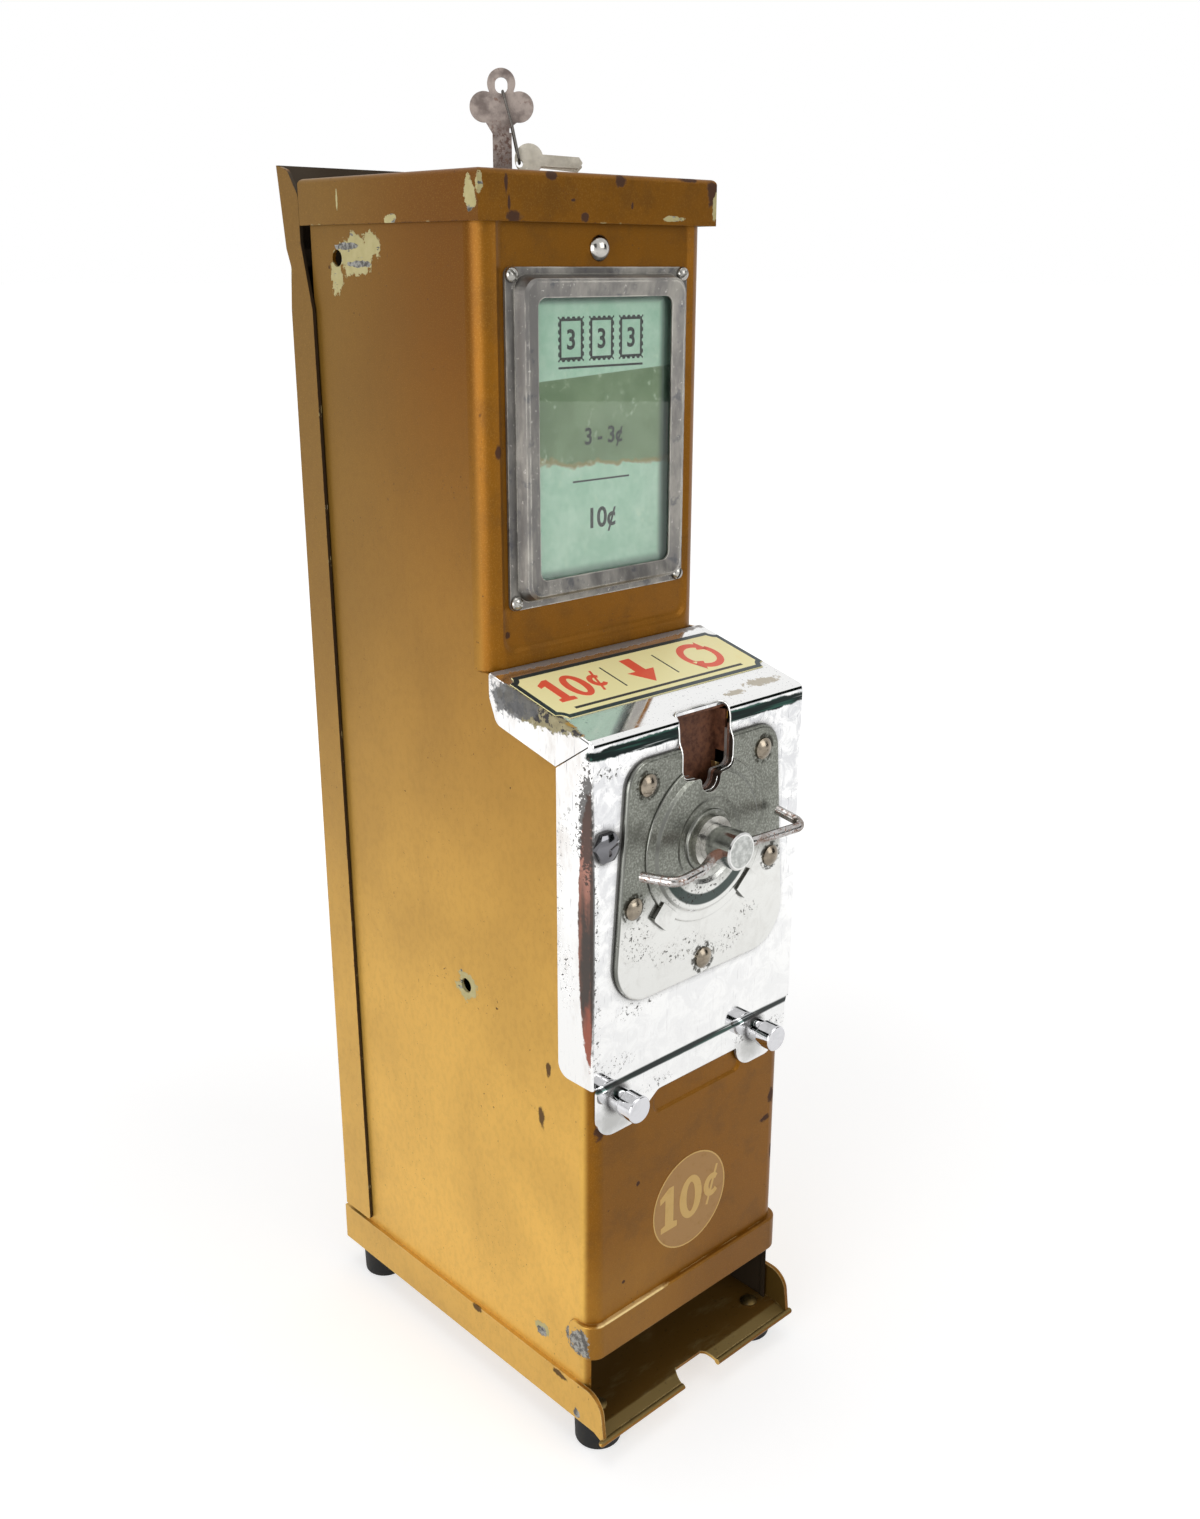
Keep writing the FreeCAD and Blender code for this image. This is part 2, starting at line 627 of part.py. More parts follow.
# ------------------------------------------------------------------ chrome cover and its parts


def slot_outline(top):
    """Coin opening: straight sides, two shoulders and a rounded notch under them."""
    return [(-SLOT_HALF, top), (-SLOT_HALF, SLOT_SHOULDER, 2.5),
            (-NOTCH_HALF, SLOT_SHOULDER, 1.5), (-NOTCH_HALF, NOTCH_BOTTOM, NOTCH_HALF - 0.2),
            (NOTCH_HALF, NOTCH_BOTTOM, NOTCH_HALF - 0.2), (NOTCH_HALF, SLOT_SHOULDER, 1.5),
            (SLOT_HALF, SLOT_SHOULDER, 2.5), (SLOT_HALF, top)]


def cover_silhouette():
    """Front view of the cover, from over the slope down to its two ears."""
    half = HALF_CASE + COVER_SHEET
    left_stud, right_stud = STUD_SIDES
    left_edge = left_stud - EAR_STEEP_SIDE
    slope_cut = (STRIP_RIGHT - right_stud - EAR_FLAT_END) / (EAR_SLOPE_END - EAR_FLAT_END)
    corner = EAR_BOTTOM + (STRIP_BOTTOM - EAR_BOTTOM) * slope_cut
    return [(half, CASE_TOP), (half, COVER_BOTTOM), (STRIP_RIGHT, COVER_BOTTOM),
            (STRIP_RIGHT, corner, 2.0), (right_stud + EAR_FLAT_END, EAR_BOTTOM, 6.0),
            (right_stud - EAR_STEEP_SIDE, EAR_BOTTOM, 8.0),
            (right_stud - EAR_STEEP_SIDE, STRIP_BOTTOM, 0.5),
            (left_stud + EAR_SLOPE_END, STRIP_BOTTOM, 4.0),
            (left_stud + EAR_FLAT_END, EAR_BOTTOM, 6.0), (left_edge, EAR_BOTTOM, 8.0),
            (left_edge, COVER_BOTTOM), (-half, COVER_BOTTOM), (-half, CASE_TOP)]


def coin_cover():
    half = HALF_CASE + COVER_SHEET
    back = COVER_JOGGLE + COVER_SHEET
    under = EAR_BOTTOM - 1
    section = [(0, JOGGLE_TOP, 1.5), (0, SLOPE_FRONT_HEIGHT, COVER_BEND),
               (COVER_REAR, slope_height(COVER_REAR)),
               (COVER_REAR, slope_height(COVER_REAR, COVER_SHEET)),
               (COVER_SHEET, slope_height(COVER_SHEET, COVER_SHEET), COVER_BEND - COVER_SHEET),
               (COVER_SHEET, JOGGLE_TOP, 1.5), (back, JOGGLE_BOTTOM, 1.5), (back, under),
               (COVER_JOGGLE, under), (COVER_JOGGLE, JOGGLE_BOTTOM, 1.5)]
    sheet = slab("side", section, -half, half)
    sheet = sheet.common(slab("front", cover_silhouette(), -1, COVER_REAR + 1))
    seam_end = (COVER_FLANGE, slope_height(COVER_FLANGE, SLOPE_FLANGE))
    flange = [(0, COVER_BOTTOM), (COVER_FLANGE, COVER_BOTTOM, 5.0), seam_end,
              (COVER_REAR - 3.5, slope_height(COVER_REAR - 3.5, SLOPE_FLANGE), 4.0),
              (COVER_REAR, slope_height(COVER_REAR) - 8.0, 3.0),
              (COVER_REAR, slope_height(COVER_REAR)), (0, SLOPE_FRONT_HEIGHT, COVER_BEND)]
    seam = [(COVER_SHEET + 0.8, SLOPE_FRONT_HEIGHT - 1.6), (seam_end[0] + 1, seam_end[1] - 1),
            (seam_end[0] + 1, seam_end[1] - 1 + SEAM_WIDTH * 1.4),
            (COVER_SHEET + 0.8, SLOPE_FRONT_HEIGHT - 1.6 + SEAM_WIDTH * 1.2)]
    side = slab("side", flange, HALF_CASE, half).cut(slab("side", seam, HALF_CASE - 1, half + 1))
    cover = joined([sheet, side, mirrored(side)])
    folds = [edge for edge in cover.Edges
             if edge.BoundBox.YMax < 0.01 and edge.BoundBox.ZLength > CASE_WIDTH
             and edge.BoundBox.XLength < 0.01 and abs(edge.BoundBox.XMin) > half - 0.01]
    cover = cover.makeFillet(COVER_SHEET * 0.9, folds)
    cover = cover.cut(slab("front", slot_outline(CASE_TOP), -1, SLOT_BITE))
    cover = cover.cut(rod("front", 0, SHAFT_HEIGHT, BUSH_RADIUS, -1, COVER_SHEET + 1))
    for x, z in RIVETS:
        cover = cover.cut(rod("front", x, z, RIVET_SHANK + HOLE_GAP, -1, COVER_SHEET + 1))
    for x, z, radius in cover_holes():
        cover = cover.cut(rod("front", x, z, radius, -1, COVER_REAR))
    return cover


def slope_label():
    along_front = LABEL_FRONT / SLOPE_COSINE
    along_rear = LABEL_REAR / SLOPE_COSINE
    sheet = slab("top", rectangle(-LABEL_HALF, LABEL_HALF, along_front, along_rear),
                 0, LABEL_THICKNESS)
    for u in (-LABEL_HALF, LABEL_HALF):
        for v in (along_front, along_rear):
            sheet = sheet.cut(rod("top", u, v, LABEL_NOTCH, -1, 1))
    sheet.rotate(V(0, 0, 0), V(1, 0, 0), SLOPE_ANGLE)
    sheet.translate(V(0, 0, SLOPE_FRONT_HEIGHT))
    return sheet


def boss_lug(side):
    """Short tab that stands out from the rim of the round boss."""
    corners = []
    for radius, turn in ((BOSS_RADIUS - 2, -1), (LUG_RADIUS, -0.8), (LUG_RADIUS, 0.8),
                         (BOSS_RADIUS - 2, 1)):
        angle = math.radians(LUG_ANGLE + turn * LUG_HALF_ANGLE)
        round_off = 1.0 if radius == LUG_RADIUS else 0.0
        corners.append((side * radius * math.cos(angle),
                        SHAFT_HEIGHT - radius * math.sin(angle), round_off))
    return slab("front", corners, -PLATE_THICKNESS - LUG_RISE, 0)


def face_plate():
    plate_view = [(-PLATE_TOP_HALF, PLATE_TOP, PLATE_TOP_CORNER),
                  (PLATE_TOP_HALF, PLATE_TOP, PLATE_TOP_CORNER),
                  (PLATE_BOTTOM_HALF, PLATE_BOTTOM, PLATE_BOTTOM_CORNER),
                  (-PLATE_BOTTOM_HALF, PLATE_BOTTOM, PLATE_BOTTOM_CORNER)]
    plate = slab("front", plate_view, -PLATE_THICKNESS, 0)
    rim = [edge for edge in plate.Edges if edge.BoundBox.YMax < 0.01 - PLATE_THICKNESS]
    plate = plate.makeFillet(PLATE_EDGE, rim)
    step = PLATE_THICKNESS + BOSS_STEP
    crown = step + ANNULUS_RISE
    profile = [(BUSH_RADIUS, 0), (BOSS_RADIUS, 0), (BOSS_RADIUS, step, 0.6),
               (BOSS_STEP_RADIUS + 1.2, step, 0.8), (BOSS_STEP_RADIUS, crown, 0.6),
               (DISH_RADIUS, crown, 0.5), (DISH_RADIUS - 1.6, step + 0.2, 0.6),
               (BUSH_RADIUS + 2.2, step + 0.2), (BUSH_RADIUS + 1.8, step + 1.2, 0.4),
               (BUSH_RADIUS, step + 1.2)]
    boss = turned(profile, V(0, 0, SHAFT_HEIGHT), V(0, -1, 0))
    plate = joined([plate, boss, boss_lug(1), boss_lug(-1)])
    plate = plate.cut(rod("front", 0, SHAFT_HEIGHT, BUSH_RADIUS, -crown - 1, 1))
    plate = plate.cut(slab("front", slot_outline(CASE_TOP), -crown - 1, 1))
    for x, z in RIVETS:
        plate = plate.cut(rod("front", x, z, RIVET_SHANK, -PLATE_THICKNESS - 1, 1))
    return plate


def face_rivets():
    tail = COVER_SHEET + FRAME_SHEET
    rivets = []
    for x, z in RIVETS:
        head = domed_head(V(x, -PLATE_THICKNESS, z), V(0, -1, 0), RIVET_RADIUS, RIVET_HEIGHT)
        shank = rod("front", x, z, RIVET_SHANK, -PLATE_THICKNESS - 0.3, tail)
        rivets.append(joined([head, shank]))
    return group(rivets)


def hexagon(u, v, radius):
    """Six-sided outline with two corners level with its centre."""
    return [(u + radius * math.cos(math.radians(60 * corner)),
             v + radius * math.sin(math.radians(60 * corner))) for corner in range(6)]


def side_bolt():
    """Low hexagon head with a rounded top; its shank passes through the cover and the case."""
    x, z = SIDE_BOLT_PLACE
    dome = domed_head(V(x, 0, z), V(0, -1, 0), SIDE_BOLT_RADIUS, SIDE_BOLT_HEIGHT, 1.6)
    head = dome.common(slab("front", hexagon(x, z, SIDE_BOLT_RADIUS), -SIDE_BOLT_HEIGHT - 1, 0))
    shank = rod("front", x, z, SIDE_BOLT_SHANK, -0.5, LOWER_FRONT + CASE_SHEET + 1.5)
    return joined([head, shank])


def cover_studs():
    """Two studs with a slim neck that clamp the cover's ears to the lower panel."""
    seat = -COVER_JOGGLE
    shoulder = STUD_NECK_LENGTH
    profile = [(0, seat), (STUD_NECK, seat), (STUD_NECK, shoulder),
               (STUD_BARREL, shoulder, 0.5), (STUD_BARREL, STUD_LENGTH, 0.7), (0, STUD_LENGTH)]
    studs = []
    for x in STUD_SIDES:
        head = turned(profile, V(x, 0, STUD_HEIGHT), V(0, -1, 0))
        shank = rod("front", x, STUD_HEIGHT, STUD_SHANK_RADIUS, COVER_JOGGLE - 0.5,
                    LOWER_FRONT + CASE_SHEET + 3)
        studs.append(joined([head, shank]))
    return group(studs)


# ------------------------------------------------------------------ window, cap and door


def window_ring(grow, radius):
    return rectangle(-WINDOW_HALF - grow, WINDOW_HALF + grow, WINDOW_BOTTOM - grow,
                     WINDOW_TOP + grow, radius)


def bezel_body(back, shrink):
    """Raised frame that dips towards the window; shrink makes the hollow on its rear side."""
    steps = ((BEZEL_FOOT, 5.6, 0.0), (5.8, 5.0, 0.88), (4.8, 4.4, 1.0), (-1.0, 3.0, BEZEL_DIP))
    sections = []
    for grow, radius, share in steps:
        place = back - (BEZEL_RAISE - shrink) * share
        sections.append(outline("front", window_ring(grow - shrink, radius - shrink), place))
    return Part.makeLoft(sections, True, True)


def window_bezel():
    flange = slab("front", rectangle(-BEZEL_HALF, BEZEL_HALF, BEZEL_BOTTOM, BEZEL_TOP, 2.5),
                  RECESS_FLOOR - BEZEL_SHEET, RECESS_FLOOR)
    bezel = joined([flange, bezel_body(RECESS_FLOOR, 0.0)])
    bezel = bezel.cut(bezel_body(RECESS_FLOOR, BEZEL_SHEET))
    bezel = bezel.cut(slab("front", window_ring(0.0, 3.0), 0, RECESS_FLOOR + 1))
    for x, z in bezel_screw_places():
        bezel = bezel.cut(rod("front", x, z, BEZEL_SHANK_RADIUS, 0, RECESS_FLOOR + 1))
    return bezel


def window_glass():
    """Pane that lies against the rear of the bezel's dipped inner edge."""
    front = RECESS_FLOOR - (BEZEL_RAISE - BEZEL_SHEET) * (BEZEL_DIP + 0.06)
    return slab("front", window_ring(1.6, 4.0), front, front + GLASS_THICKNESS)


def price_card():
    return slab("front", window_ring(4.4, 4.0), RECESS_FLOOR - CARD_THICKNESS, RECESS_FLOOR)


def bezel_screws():
    screws = []
    for x, z in bezel_screw_places():
        seat = RECESS_FLOOR - BEZEL_SHEET
        head = domed_head(V(x, seat, z), V(0, -1, 0), BEZEL_SCREW_RADIUS, 2.0)
        shank = rod("front", x, z, BEZEL_SHANK_RADIUS, seat - 0.3,
                    RECESS_FLOOR + BEZEL_SHANK_END)
        screws.append(joined([head, shank]))
    return group(screws)


def top_cap():
    outside = HALF_CASE + CAP_OVERHANG
    front = UPPER_FRONT - CAP_OVERHANG
    top = CASE_TOP + CASE_SHEET
    block = box(-outside, outside, front, CAP_REAR, top - CAP_SKIRT, top)
    rim = [edge for edge in block.Edges if edge.BoundBox.ZMin > top - 0.01]
    block = block.makeFillet(CAP_EDGE_RADIUS, rim)
    hollow = box(-outside + CASE_SHEET, outside - CASE_SHEET, front + CASE_SHEET,
                 CAP_REAR - CASE_SHEET, top - CAP_SKIRT - 1, CASE_TOP)
    return block.cut(hollow).cut(rod("top", 0, LOCK_PLACE, LOCK_RADIUS, CASE_TOP - 1, top + 1))


def cap_bracket():
    """Angle under the cap, which the cap screw draws against the front panel."""
    front = RECESS_FLOOR + CASE_SHEET
    back = front + BRACKET_DEPTH
    section = [(front, BRACKET_BOTTOM), (front, CASE_TOP), (back, CASE_TOP),
               (back, CASE_TOP - CASE_SHEET), (front + CASE_SHEET, CASE_TOP - CASE_SHEET),
               (front + CASE_SHEET, BRACKET_BOTTOM)]
    angle = slab("side", section, -BRACKET_HALF, BRACKET_HALF)
    return angle.cut(rod("front", 0, CAP_SCREW_HEIGHT, CAP_SHANK_RADIUS, 0, CASE_REAR))


def cap_screw():
    seat = RECESS_FLOOR
    head = domed_head(V(0, seat, CAP_SCREW_HEIGHT), V(0, -1, 0), CAP_SCREW_RADIUS, 3.0)
    shank = rod("front", 0, CAP_SCREW_HEIGHT, CAP_SHANK_RADIUS, seat - 0.5,
                seat + 2 * CASE_SHEET + 3.0)
    return joined([head, shank])


def door_side_view():
    """Rear face of the door seen from the side; the top flares out behind the cap."""
    return [(DOOR_REAR, BASE_LIP_TOP + 2), (DOOR_REAR, DOOR_CREASE - 14, 8.0),
            (DOOR_REAR - 1.4, DOOR_CREASE, 3.0), (DOOR_REAR + 1.0, DOOR_CREASE + 6, 3.0),
            (DOOR_REAR + DOOR_FLARE, DOOR_TOP)]


def rear_door():
    half = HALF_CASE + SHEET_GAP * 2 + CASE_SHEET
    outer = door_side_view()
    inner = [(point[0] - CASE_SHEET,) + point[1:] for point in reversed(outer)]
    plate = slab("side", outer + inner, -half, half)
    foot = box(-DOOR_FOOT_HALF, DOOR_FOOT_HALF, DOOR_REAR - CASE_SHEET, DOOR_REAR,
               DOOR_FOOT_BOTTOM, BASE_LIP_TOP + 3)
    bead = rod("side", DOOR_HINGE[0], DOOR_HINGE[1], DOOR_BEAD, -DOOR_FOOT_HALF, DOOR_FOOT_HALF)
    clear_of_cap = CAP_REAR + 0.6
    flange_front = [(DOOR_FLANGE_BOTTOM, BASE_LIP_TOP + 2, 1.5),
                    (DOOR_FLANGE_TOP, DOOR_CREASE - 14, 4.0), (clear_of_cap, DOOR_CREASE + 8, 4.0),
                    (clear_of_cap, DOOR_TOP - 10, 5.0), (clear_of_cap + 6, DOOR_TOP - 1.5, 4.0)]
    flange = slab("side", flange_front + list(reversed(outer)), half - CASE_SHEET, half)
    return joined([plate, foot, bead, flange, mirrored(flange)])


def door_hook():
    """Tongue on the door that the lock's cam holds."""
    plate_front = DOOR_REAR - CASE_SHEET
    back = plate_front - HOOK_RISE
    low = DOOR_CREASE - 30
    section = [(plate_front - CASE_SHEET, low), (plate_front, low), (plate_front, low + 12),
               (back, low + 20), (back, HOOK_HEIGHT + 1.5),
               (HOOK_FRONT + 1.5, HOOK_HEIGHT + 1.5), (HOOK_FRONT + 1.5, HOOK_TOP),
               (HOOK_FRONT, HOOK_TOP), (HOOK_FRONT, HOOK_HEIGHT),
               (back - CASE_SHEET, HOOK_HEIGHT), (back - CASE_SHEET, low + 20.4),
               (plate_front - CASE_SHEET, low + 12.4)]
    return slab("side", section, -HOOK_HALF, HOOK_HALF)


# ------------------------------------------------------------------ handle and coin mechanism


def handle_shaft():
    bar = rod("front", 0, SHAFT_HEIGHT, SHAFT_RADIUS, SHAFT_FRONT, SHAFT_REAR)
    ends = [edge for edge in bar.Edges if edge.BoundBox.YLength < 0.01]
    bar = bar.makeChamfer(0.5, ends)
    return bar.cut(rod("side", ROD_PLACE, SHAFT_HEIGHT, ROD_RADIUS, -SHAFT_RADIUS - 1,
                       SHAFT_RADIUS + 1))


def handle_rod():
    """Thin cross rod: both ends are bent back towards the cover, the left one gently."""
    height = SHAFT_HEIGHT
    straight = SHAFT_RADIUS + 2.4
    bends = [(V(ROD_LEFT, ROD_END - 4, height - 0.6), 0),
             (V(ROD_LEFT + 4.4, ROD_GRIP, height - 0.4), 5.0),
             (V(ROD_LEFT / 2 - 1.5, ROD_GRIP + 1.2, height), 10.0),
             (V(-straight, ROD_PLACE, height), 9.0), (V(straight, ROD_PLACE, height), 30.0),
             (V(ROD_RIGHT, ROD_PLACE - 2.6, height), 3.4),
             (V(ROD_RIGHT - 1.8, ROD_END, height + 3.0), 0)]
    path = rounded_path(bends, False)
    start = bends[0][0]
    section = Part.Wire(Part.makeCircle(ROD_RADIUS, start, bends[1][0] - start))
    return path.makePipeShell([section], True, False)


def shaft_bush(start, end):
    return tube("front", 0, SHAFT_HEIGHT, BUSH_RADIUS, SHAFT_RADIUS + RUNNING_FIT, start, end)


def mechanism_frame():
    """Open-topped box behind the face plate that carries the shaft, the pawl and the rack."""
    flange = slab("front", rectangle(-FRAME_HALF, FRAME_HALF, FRAME_BOTTOM, FRAME_TOP, 3.0),
                  COVER_SHEET, COVER_SHEET + FRAME_SHEET)
    rear = slab("front", rectangle(-FRAME_HALF, FRAME_HALF, FRAME_BOTTOM, FRAME_TOP, 3.0),
                FRAME_REAR - FRAME_SHEET, FRAME_REAR)
    cheek = box(FRAME_HALF - FRAME_SHEET, FRAME_HALF, COVER_SHEET, FRAME_REAR,
                FRAME_BOTTOM + 3, FRAME_TOP - 3)
    frame = joined([flange, rear, cheek, mirrored(cheek)])
    frame = frame.cut(slab("front", slot_outline(CASE_TOP), 0, COVER_SHEET + FRAME_SHEET + 1))
    frame = frame.cut(rod("front", 0, SHAFT_HEIGHT, BUSH_RADIUS, 0, FRAME_REAR + 1))
    for x, z in RIVETS:
        frame = frame.cut(rod("front", x, z, RIVET_SHANK, 0, COVER_SHEET + FRAME_SHEET + 1))
    frame = frame.cut(rod("front", PAWL_PIVOT[0], PAWL_PIVOT[1], PAWL_PIN_RADIUS, 0,
                          FRAME_REAR + 1))
    rack_window = box(-FRAME_HALF - 1, FRAME_HALF + 1, GEAR_FRONT - WINDOW_GAP,
                      GEAR_FRONT + GEAR_WIDTH + WINDOW_GAP, RACK_TIP - WINDOW_GAP,
                      RACK_TOP + WINDOW_GAP)
    arm_window = box(-FRAME_HALF - 1, 0, GEAR_FRONT, FRAME_REAR + 1,
                     RACK_TOP - ARM_DEPTH - WINDOW_GAP, RACK_TOP + WINDOW_GAP)
    return frame.cut(rack_window).cut(arm_window)


def coin_cup():
    """Guide behind the slot: a back wall, two sides and a lip curled up to the cover."""
    back = CUP_BACK
    wall = box(-SLOT_HALF - CUP_SHEET, SLOT_HALF + CUP_SHEET, back, back + CUP_SHEET,
               NOTCH_BOTTOM - 2, SLOPE_FRONT_HEIGHT - 2)
    side = box(SLOT_HALF, SLOT_HALF + CUP_SHEET, COVER_SHEET + FRAME_SHEET, back + CUP_SHEET,
               WHEEL_TOP + 1.5, SLOPE_FRONT_HEIGHT - 2)
    lip = slab("side", [(SLOT_BITE, slope_height(SLOT_BITE, COVER_SHEET)),
                        (back + CUP_SHEET, slope_height(back + CUP_SHEET, COVER_SHEET)),
                        (back + CUP_SHEET, SLOPE_FRONT_HEIGHT - 3),
                        (back, SLOPE_FRONT_HEIGHT - 3),
                        (back, slope_height(back, COVER_SHEET + CUP_SHEET), 1.5),
                        (SLOT_BITE, slope_height(SLOT_BITE, COVER_SHEET + CUP_SHEET))],
               -SLOT_HALF - CUP_SHEET, SLOT_HALF + CUP_SHEET)
    return joined([wall, side, mirrored(side), lip])


def coin_wheel():
    """Disc that carries the coin round; its pocket stands at the top while it rests."""
    disc = rod("front", 0, SHAFT_HEIGHT, WHEEL_RADIUS, WHEEL_FRONT, WHEEL_FRONT + COIN_THICKNESS)
    hub = rod("front", 0, SHAFT_HEIGHT, WHEEL_HUB, WHEEL_FRONT, WHEEL_FRONT + WHEEL_DEPTH)
    pocket = rod("front", 0, SHAFT_HEIGHT + WHEEL_RADIUS - 4, COIN_RADIUS + 0.35, 0, CUP_BACK)
    wheel = joined([disc, hub]).cut(pocket)
    return wheel.cut(rod("front", 0, SHAFT_HEIGHT, SHAFT_RADIUS, 0, FRAME_REAR))


def involute(angle):
    return math.tan(angle) - angle


def gear_outline(centre_height):
    """Involute pinion in the front view, with a tooth gap at the very top."""
    base = PITCH_RADIUS * math.cos(PRESSURE_ANGLE)
    half_tooth = math.pi / (2 * GEAR_TEETH) - GEAR_BACKLASH / PITCH_RADIUS
    root = PITCH_RADIUS - 1.25 * GEAR_MODULE
    tip = PITCH_RADIUS + GEAR_MODULE
    flank = []
    for share in (0.0, 0.35, 0.7, 1.0):
        radius = base + (tip - base) * share
        spread = involute(PRESSURE_ANGLE) - involute(math.acos(min(1.0, base / radius)))
        flank.append((radius, half_tooth + spread))
    flank.insert(0, (root, flank[0][1]))
    points = []
    for tooth in range(GEAR_TEETH):
        middle = (tooth + 0.5) * 2 * math.pi / GEAR_TEETH
        for radius, half in flank:
            points.append((radius, middle - half))
        for radius, half in reversed(flank):
            points.append((radius, middle + half))
    return [(radius * math.sin(angle), centre_height + radius * math.cos(angle))
            for radius, angle in points]


def drive_pinion():
    gear = slab("front", gear_outline(SHAFT_HEIGHT), GEAR_FRONT, GEAR_FRONT + GEAR_WIDTH)
    hub = rod("front", 0, SHAFT_HEIGHT, SHAFT_RADIUS + 3.4, GEAR_FRONT - 5, GEAR_FRONT + 0.5)
    gear = joined([gear, hub])
    for turn in range(5):
        angle = 2 * math.pi * (turn + 0.5) / 5
        x = GEAR_HOLE_RING * math.sin(angle)
        z = SHAFT_HEIGHT + GEAR_HOLE_RING * math.cos(angle)
        gear = gear.cut(rod("front", x, z, GEAR_HOLE_RADIUS, GEAR_FRONT - 1, CASE_REAR))
    return gear.cut(rod("front", 0, SHAFT_HEIGHT, SHAFT_RADIUS, 0, GEAR_FRONT + GEAR_WIDTH + 1))


def ejector_rack():
    """Rack over the pinion; a tooth stands in the pinion's top gap while it rests."""
    pitch_line = SHAFT_HEIGHT + PITCH_RADIUS
    step = math.pi * GEAR_MODULE
    half_tooth = step / 4 - GEAR_BACKLASH
    slant = math.tan(PRESSURE_ANGLE)
    tip_half = half_tooth - GEAR_MODULE * slant
    root_half = half_tooth + 1.25 * GEAR_MODULE * slant
    root_height = pitch_line + 1.25 * GEAR_MODULE
    points = [(RACK_RIGHT, RACK_TOP), (RACK_LEFT, RACK_TOP), (RACK_LEFT, root_height)]
    first = math.ceil((RACK_LEFT + root_half) / step)
    last = math.floor((RACK_RIGHT - root_half) / step)
    for tooth in range(first, last + 1):
        middle = tooth * step
        points += [(middle - root_half, root_height), (middle - tip_half, RACK_TIP),
                   (middle + tip_half, RACK_TIP), (middle + root_half, root_height)]
    points.append((RACK_RIGHT, root_height))
    return slab("front", points, GEAR_FRONT, GEAR_FRONT + GEAR_WIDTH)


def ejector_blade():
    """Arm from the rack, a stem through the shelf's slot and the blade that pushes a folder."""
    arm = box(ARM_LEFT, ARM_LEFT + ARM_WIDTH, GEAR_FRONT + GEAR_WIDTH, STEM_PLACE + STEM_HALF,
              RACK_TOP - ARM_DEPTH, RACK_TOP)
    stem = box(ARM_LEFT, ARM_LEFT + ARM_WIDTH, STEM_PLACE - STEM_HALF, STEM_PLACE + STEM_HALF,
               RACK_TOP - ARM_DEPTH, SHELF_TOP + SHEET_GAP + BLADE_HEIGHT)
    blade = box(BLADE_RIGHT - BLADE_WIDTH, BLADE_RIGHT, MAGAZINE_FRONT + MAGAZINE_SHEET + 1.2,
                MAGAZINE_REAR - MAGAZINE_SHEET - 1.2, SHELF_TOP + SHEET_GAP,
                SHELF_TOP + SHEET_GAP + BLADE_HEIGHT)
    return joined([arm, stem, blade])


def folder_shelf():
    """Shelf under the magazine, slotted for the ejector's stem, flanged to the left wall."""
    wall = HALF_CASE - CASE_SHEET
    plate = box(-wall, 0, MAGAZINE_FRONT - 1.6, MAGAZINE_REAR, SHELF_TOP - CASE_SHEET, SHELF_TOP)
    flange = box(-wall, -wall + CASE_SHEET, MAGAZINE_FRONT - 1.6, MAGAZINE_REAR,
                 SHELF_TOP - 14, SHELF_TOP)
    slot = box(ARM_LEFT - 0.6, 1, STEM_PLACE - STEM_HALF - 0.6, STEM_PLACE + STEM_HALF + 0.6,
               SHELF_TOP - 20, SHELF_TOP + 1)
    return joined([plate, flange]).cut(slot)


def magazine():
    """Upright box for the stack of folders, with a slot in front for the follower's tab."""
    outer = box(MAGAZINE_LEFT, MAGAZINE_RIGHT, MAGAZINE_FRONT, MAGAZINE_REAR, SHELF_TOP,
                MAGAZINE_TOP)
    inner = box(MAGAZINE_LEFT + MAGAZINE_SHEET, MAGAZINE_RIGHT - MAGAZINE_SHEET,
                MAGAZINE_FRONT + MAGAZINE_SHEET, MAGAZINE_REAR - MAGAZINE_SHEET,
                SHELF_TOP - 1, MAGAZINE_TOP + 1)
    exit_gap = box(MAGAZINE_LEFT - 1, MAGAZINE_RIGHT + 1, MAGAZINE_FRONT + MAGAZINE_SHEET,
                   MAGAZINE_REAR - MAGAZINE_SHEET, SHELF_TOP - 1,
                   SHELF_TOP + BLADE_HEIGHT + 3 * SHEET_GAP)
    middle = (MAGAZINE_LEFT + MAGAZINE_RIGHT) / 2
    tab_slot = slab("front", rectangle(middle - TAB_SLOT_HALF, middle + TAB_SLOT_HALF,
                                       TAB_SLOT_BOTTOM, MAGAZINE_TOP - 6,
                                       TAB_SLOT_CORNER),
                    MAGAZINE_FRONT - 1, MAGAZINE_FRONT + MAGAZINE_SHEET + 0.5)
    body = outer.cut(inner).cut(exit_gap).cut(tab_slot)
    stays = []
    for share in STAY_SHARES:
        height = SHELF_TOP + (MAGAZINE_TOP - SHELF_TOP) * share
        stays.append(box(-HALF_CASE + CASE_SHEET, MAGAZINE_LEFT, UPPER_FRONT + UPPER_CORNER,
                         MAGAZINE_REAR, height, height + STAY_HEIGHT))
    return joined([body] + stays)


